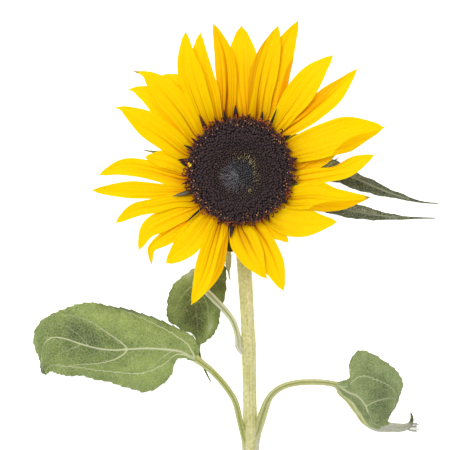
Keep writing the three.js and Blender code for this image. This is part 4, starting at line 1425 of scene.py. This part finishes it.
# %% Pale hairs over the middle
SOFT_HAIRS = 380
turn = np.radians(disc_random.normal(195, 52, SOFT_HAIRS))
away = MM * (1.6 + 8.2 * disc_random.uniform(0, 1, SOFT_HAIRS) ** 0.8)
flat = eye * MM + away[:, None] * level(turn)[:, :2]
out, bearing = np.hypot(*flat.T), np.arctan2(flat[:, 1], flat[:, 0])
at = round_the_head(out, bearing, bed_height(out) + 2.0 * MM)
up = unit(0.24 * UP - level(turn) + disc_random.normal(0, 0.05, (SOFT_HAIRS, 3)))
wide = np.full(SOFT_HAIRS, 0.8)
sizes = np.stack([wide, wide, disc_random.uniform(1.6, 3.0, SOFT_HAIRS)], axis=1) * MM
pale_paint = speckled("young_hair", 0.5, 0.3, 1.2, 0.02, [(0.3, "#74757c"), (0.7, "#c4c4c8")])
scatter("young_hairs", hair, at, up, UP, sizes, pale_paint, "floret")

# %% [markdown]
# ## Dark points round the rim
#
# The outermost scales of the disc are longer than the rest and lie out over the feet of the
# petals, like a ragged dark collar. Most are alike, and the long ones are placed one by one.

# %% Dark points round the rim
# The angles of the foot and the tip in degrees, the reach and half-width in millimetres, how
# rusty the point is, and how pale.
LONG_POINTS = [
    (131, 126, 35, 1.1, 0.9, 0), (106, 105, 32, 0.8, 0.1, 0), (95, 94, 33, 1.3, 0.1, 0),
    (88, 87, 29, 0.7, 0.5, 0), (81, 80, 29.2, 0.8, 0.4, 0), (66, 69, 32, 1.0, 0.1, 0),
    (55, 59.6, 36.5, 0.7, 0.0, 0), (38, 35, 31, 1.0, 0.0, 0), (12, 12.5, 29.6, 1.1, 0.2, 0),
    (2, 1, 29, 0.9, 0.1, 0), (-11, -12, 29.5, 1.1, 0.0, 0), (-35, -34, 29, 1.0, 0.1, 0),
    (-58, -60, 29.5, 0.9, 0.2, 0), (-97.5, -98.4, 34, 1.3, 0.25, 0), (-112, -113, 29, 1.1, 0.1, 0),
    (-135.5, -136.5, 38, 0.6, 0.2, 0), (-147, -148, 29.8, 0.6, 0.6, 0),
    (-168, -167, 30.4, 0.6, 0.7, 0), (-156, -159.3, 36, 1.3, 0.0, 0.45),
    (-162, -163, 29.5, 0.5, 0.6, 0), (-175, -175, 29.8, 0.5, 0.7, 0),
    (-186, -188, 30.2, 1.2, 0.1, 0), (-191, -190, 31.6, 1.3, 0.2, 0), (155, 155.5, 31, 0.8, 0.1, 0),
    (147, 146, 29.6, 0.8, 0.5, 0), (115, 116, 30, 0.7, 0.6, 0),
]
SHORT = 120
foot = disc_random.uniform(-180, 180, SHORT)
tip = foot + disc_random.normal(0, 2.5, SHORT)
spans = ((25.8, 28.2), (0.35, 0.6), (0.0, 1.0))
others = [disc_random.uniform(low, high, SHORT) for low, high in spans]
short_points = np.stack([foot, tip, *others, np.zeros(SHORT)], axis=1)
foot, tip, reach, half_width, rust, pale = np.concatenate([LONG_POINTS, short_points]).T
start = round_the_head(np.full(len(foot), disc_radius - 1.6 * MM), np.radians(foot), 2.6 * MM)
rise = 3.6 * MM + disc_random.uniform(-0.4, 0.6, len(foot)) * MM
way = round_the_head(reach * MM, np.radians(tip), rise) - start
long = np.linalg.norm(way, axis=1)
sizes = np.stack([np.full(len(foot), 0.4 * MM), half_width * 1.6 * MM, long], axis=1)
marks = {"rust": 0.5 * rust, "olive": 0.7 * pale, "pale": 0.4 * pale}
scatter("rim_points", spike, start, unit(way), -UP, sizes, RIM_PAINT, "floret", **marks)

# %% [markdown]
# ## A crumb of petal
#
# A crumb of yellow petal is stuck among the florets at the rim. Three small lumps that grow into
# each other are enough for it, because it is hardly larger than a floret.

# %% A crumb of petal
lump = swept([(0, 0, 0), (0.1, 0, 0.3), (0.0, 0, 0.8), (0.1, 0, 1)], [0.3, 0.55, 0.45, 0.1], 7)
at = head + np.array([[-25.6, 2.9, 5.4], [-24.8, 2.2, 5.6], [-25.9, 3.5, 5.2]]) * MM
up = unit(np.array([[0.7, -0.5, 0.5], [0.2, 0.9, 0.3], [0.9, 0.1, 0.4]]))
sizes = MM * np.array([1.5, 1.3, 1.0])
crumb_paint = speckled("petal_scrap", 0.6, 0.1, 1.5, 0.2, [(0.3, "#f0c818"), (0.6, "#ffe83c")])
scatter("petal_scrap", lump, at, up, UP, sizes, crumb_paint, "petal")

# %% [markdown]
# ## A frayed leaf end
#
# The right lower leaf has died back at its tip, and the dry skin there has frayed into a few
# whitish strips. They are copies of the spike, laid side by side from the outermost point of the
# curled tip.

# %% A frayed leaf end
def frayed_paint():
    paint = Paint("frayed_skin", roughness=0.8, specular=0.1)
    grain = paint.noise(paint.where(2.0), detail=2.0)
    paint.relief(grain, 0.2 * MM)
    tone = paint.total((paint.mark("shade"), 0.6), (grain, 0.5))
    return paint.finish(paint.ramp(tone, [(0.2, "#77786a"), (0.45, "#c9cabb"), (0.7, "#efefe6")]))


STRIPS = 7
frayed_random = np.random.default_rng(12)
lower_right = leaves[list(LEAF_TRAITS).index("leaf_lower_right")]
skin = np.array([vertex.co for vertex in lower_right.data.vertices])
outermost = skin[np.argmax(skin[:, 0])]
turn = np.radians(np.array([-13.0, -6.0, -1.0, 4.0, 9.0, 16.0, 1.0]))
wide = np.ones(STRIPS)
at = outermost + np.stack([-2.8 * wide, np.linspace(-5.2, -2.8, STRIPS), 0.2 * wide], axis=1) * MM
long = frayed_random.uniform(4.6, 7.4, STRIPS)
sizes = np.stack([0.5 * wide, 1.1 * wide, long], axis=1) * MM
shade = frayed_random.uniform(0, 1, STRIPS)
up = unit(level(turn, 0.06))
scatter("frayed_end", spike, at, up, -UP, sizes, frayed_paint(), "leaf", shade=shade)

# %% [markdown]
# ## Light, floor and camera
#
# Plants look natural in broad, soft light. The world is a bright even sky, and one large lamp to
# the upper left gives the pleats and veins a gentle direction. The floor is plain white card. The
# camera hangs straight above with a long lens, so that high and low petals show nearly to scale.

# %% Floor
def white_card():
    paint = Paint("white_card", roughness=0.9, specular=0.1)
    grain = paint.noise(paint.where(0.5), detail=2.0)
    paint.shader.inputs["Emission Color"].default_value = (1.0, 1.0, 1.0, 1.0)
    paint.shader.inputs["Emission Strength"].default_value = 0.75
    return paint.finish(paint.ramp(grain, [(0.3, "#fbfbfa"), (0.7, "#ffffff")]))


FLOOR_HALF = 1.5
floor_corners = FLOOR_HALF * np.array([(-1, -1, 0), (1, -1, 0), (1, 1, 0), (-1, 1, 0)])
floor = make_mesh("floor", floor_corners, [(0, 1, 2, 3)])
floor.data.materials.append(white_card())
floor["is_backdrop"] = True

# %% Sky and lamp
world = bpy.data.worlds.new("soft_sky")
bpy.context.scene.world = world
world.use_nodes = True
sky = world.node_tree.nodes["Background"]
sky.inputs["Color"].default_value = (1.0, 1.0, 1.0, 1.0)
sky.inputs["Strength"].default_value = 0.55

lamp_data = bpy.data.lights.new("window", "AREA")
lamp_data.size = 0.5
lamp_data.energy = 10.0
lamp = bpy.data.objects.new("window", lamp_data)
lamp.location = (-0.25, 0.3, 1.3)
lamp.rotation_euler = (-lamp.location).to_track_quat("-Z", "Y").to_euler()
bpy.context.scene.collection.objects.link(lamp)

# %% Camera
CAMERA_HEIGHT = 938 * MM
CAMERA_ASIDE = np.array([-7.5, -27.0]) * MM  # from the middle of the head to that of the view
camera_data = bpy.data.cameras.new("above")
camera_data.lens = 144
camera_data.sensor_width = 36
camera = bpy.data.objects.new("above", camera_data)
camera.location = (*(head[:2] + CAMERA_ASIDE), CAMERA_HEIGHT)
bpy.context.scene.collection.objects.link(camera)
bpy.context.scene.camera = camera
bpy.context.scene.view_settings.view_transform = "Standard"

# %% [markdown]
# ## Size
#
# The dressed flower fills nearly the same box as the plain one, and the last cell gives both
# boxes. Every piece that has been dressed rides the one rigid body.

# %% Size
def corners(box):
    """A box's two corners as plain lists."""
    return [list(corner) for corner in box]


{"cad": corners(cad_box), "visual": corners(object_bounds())}
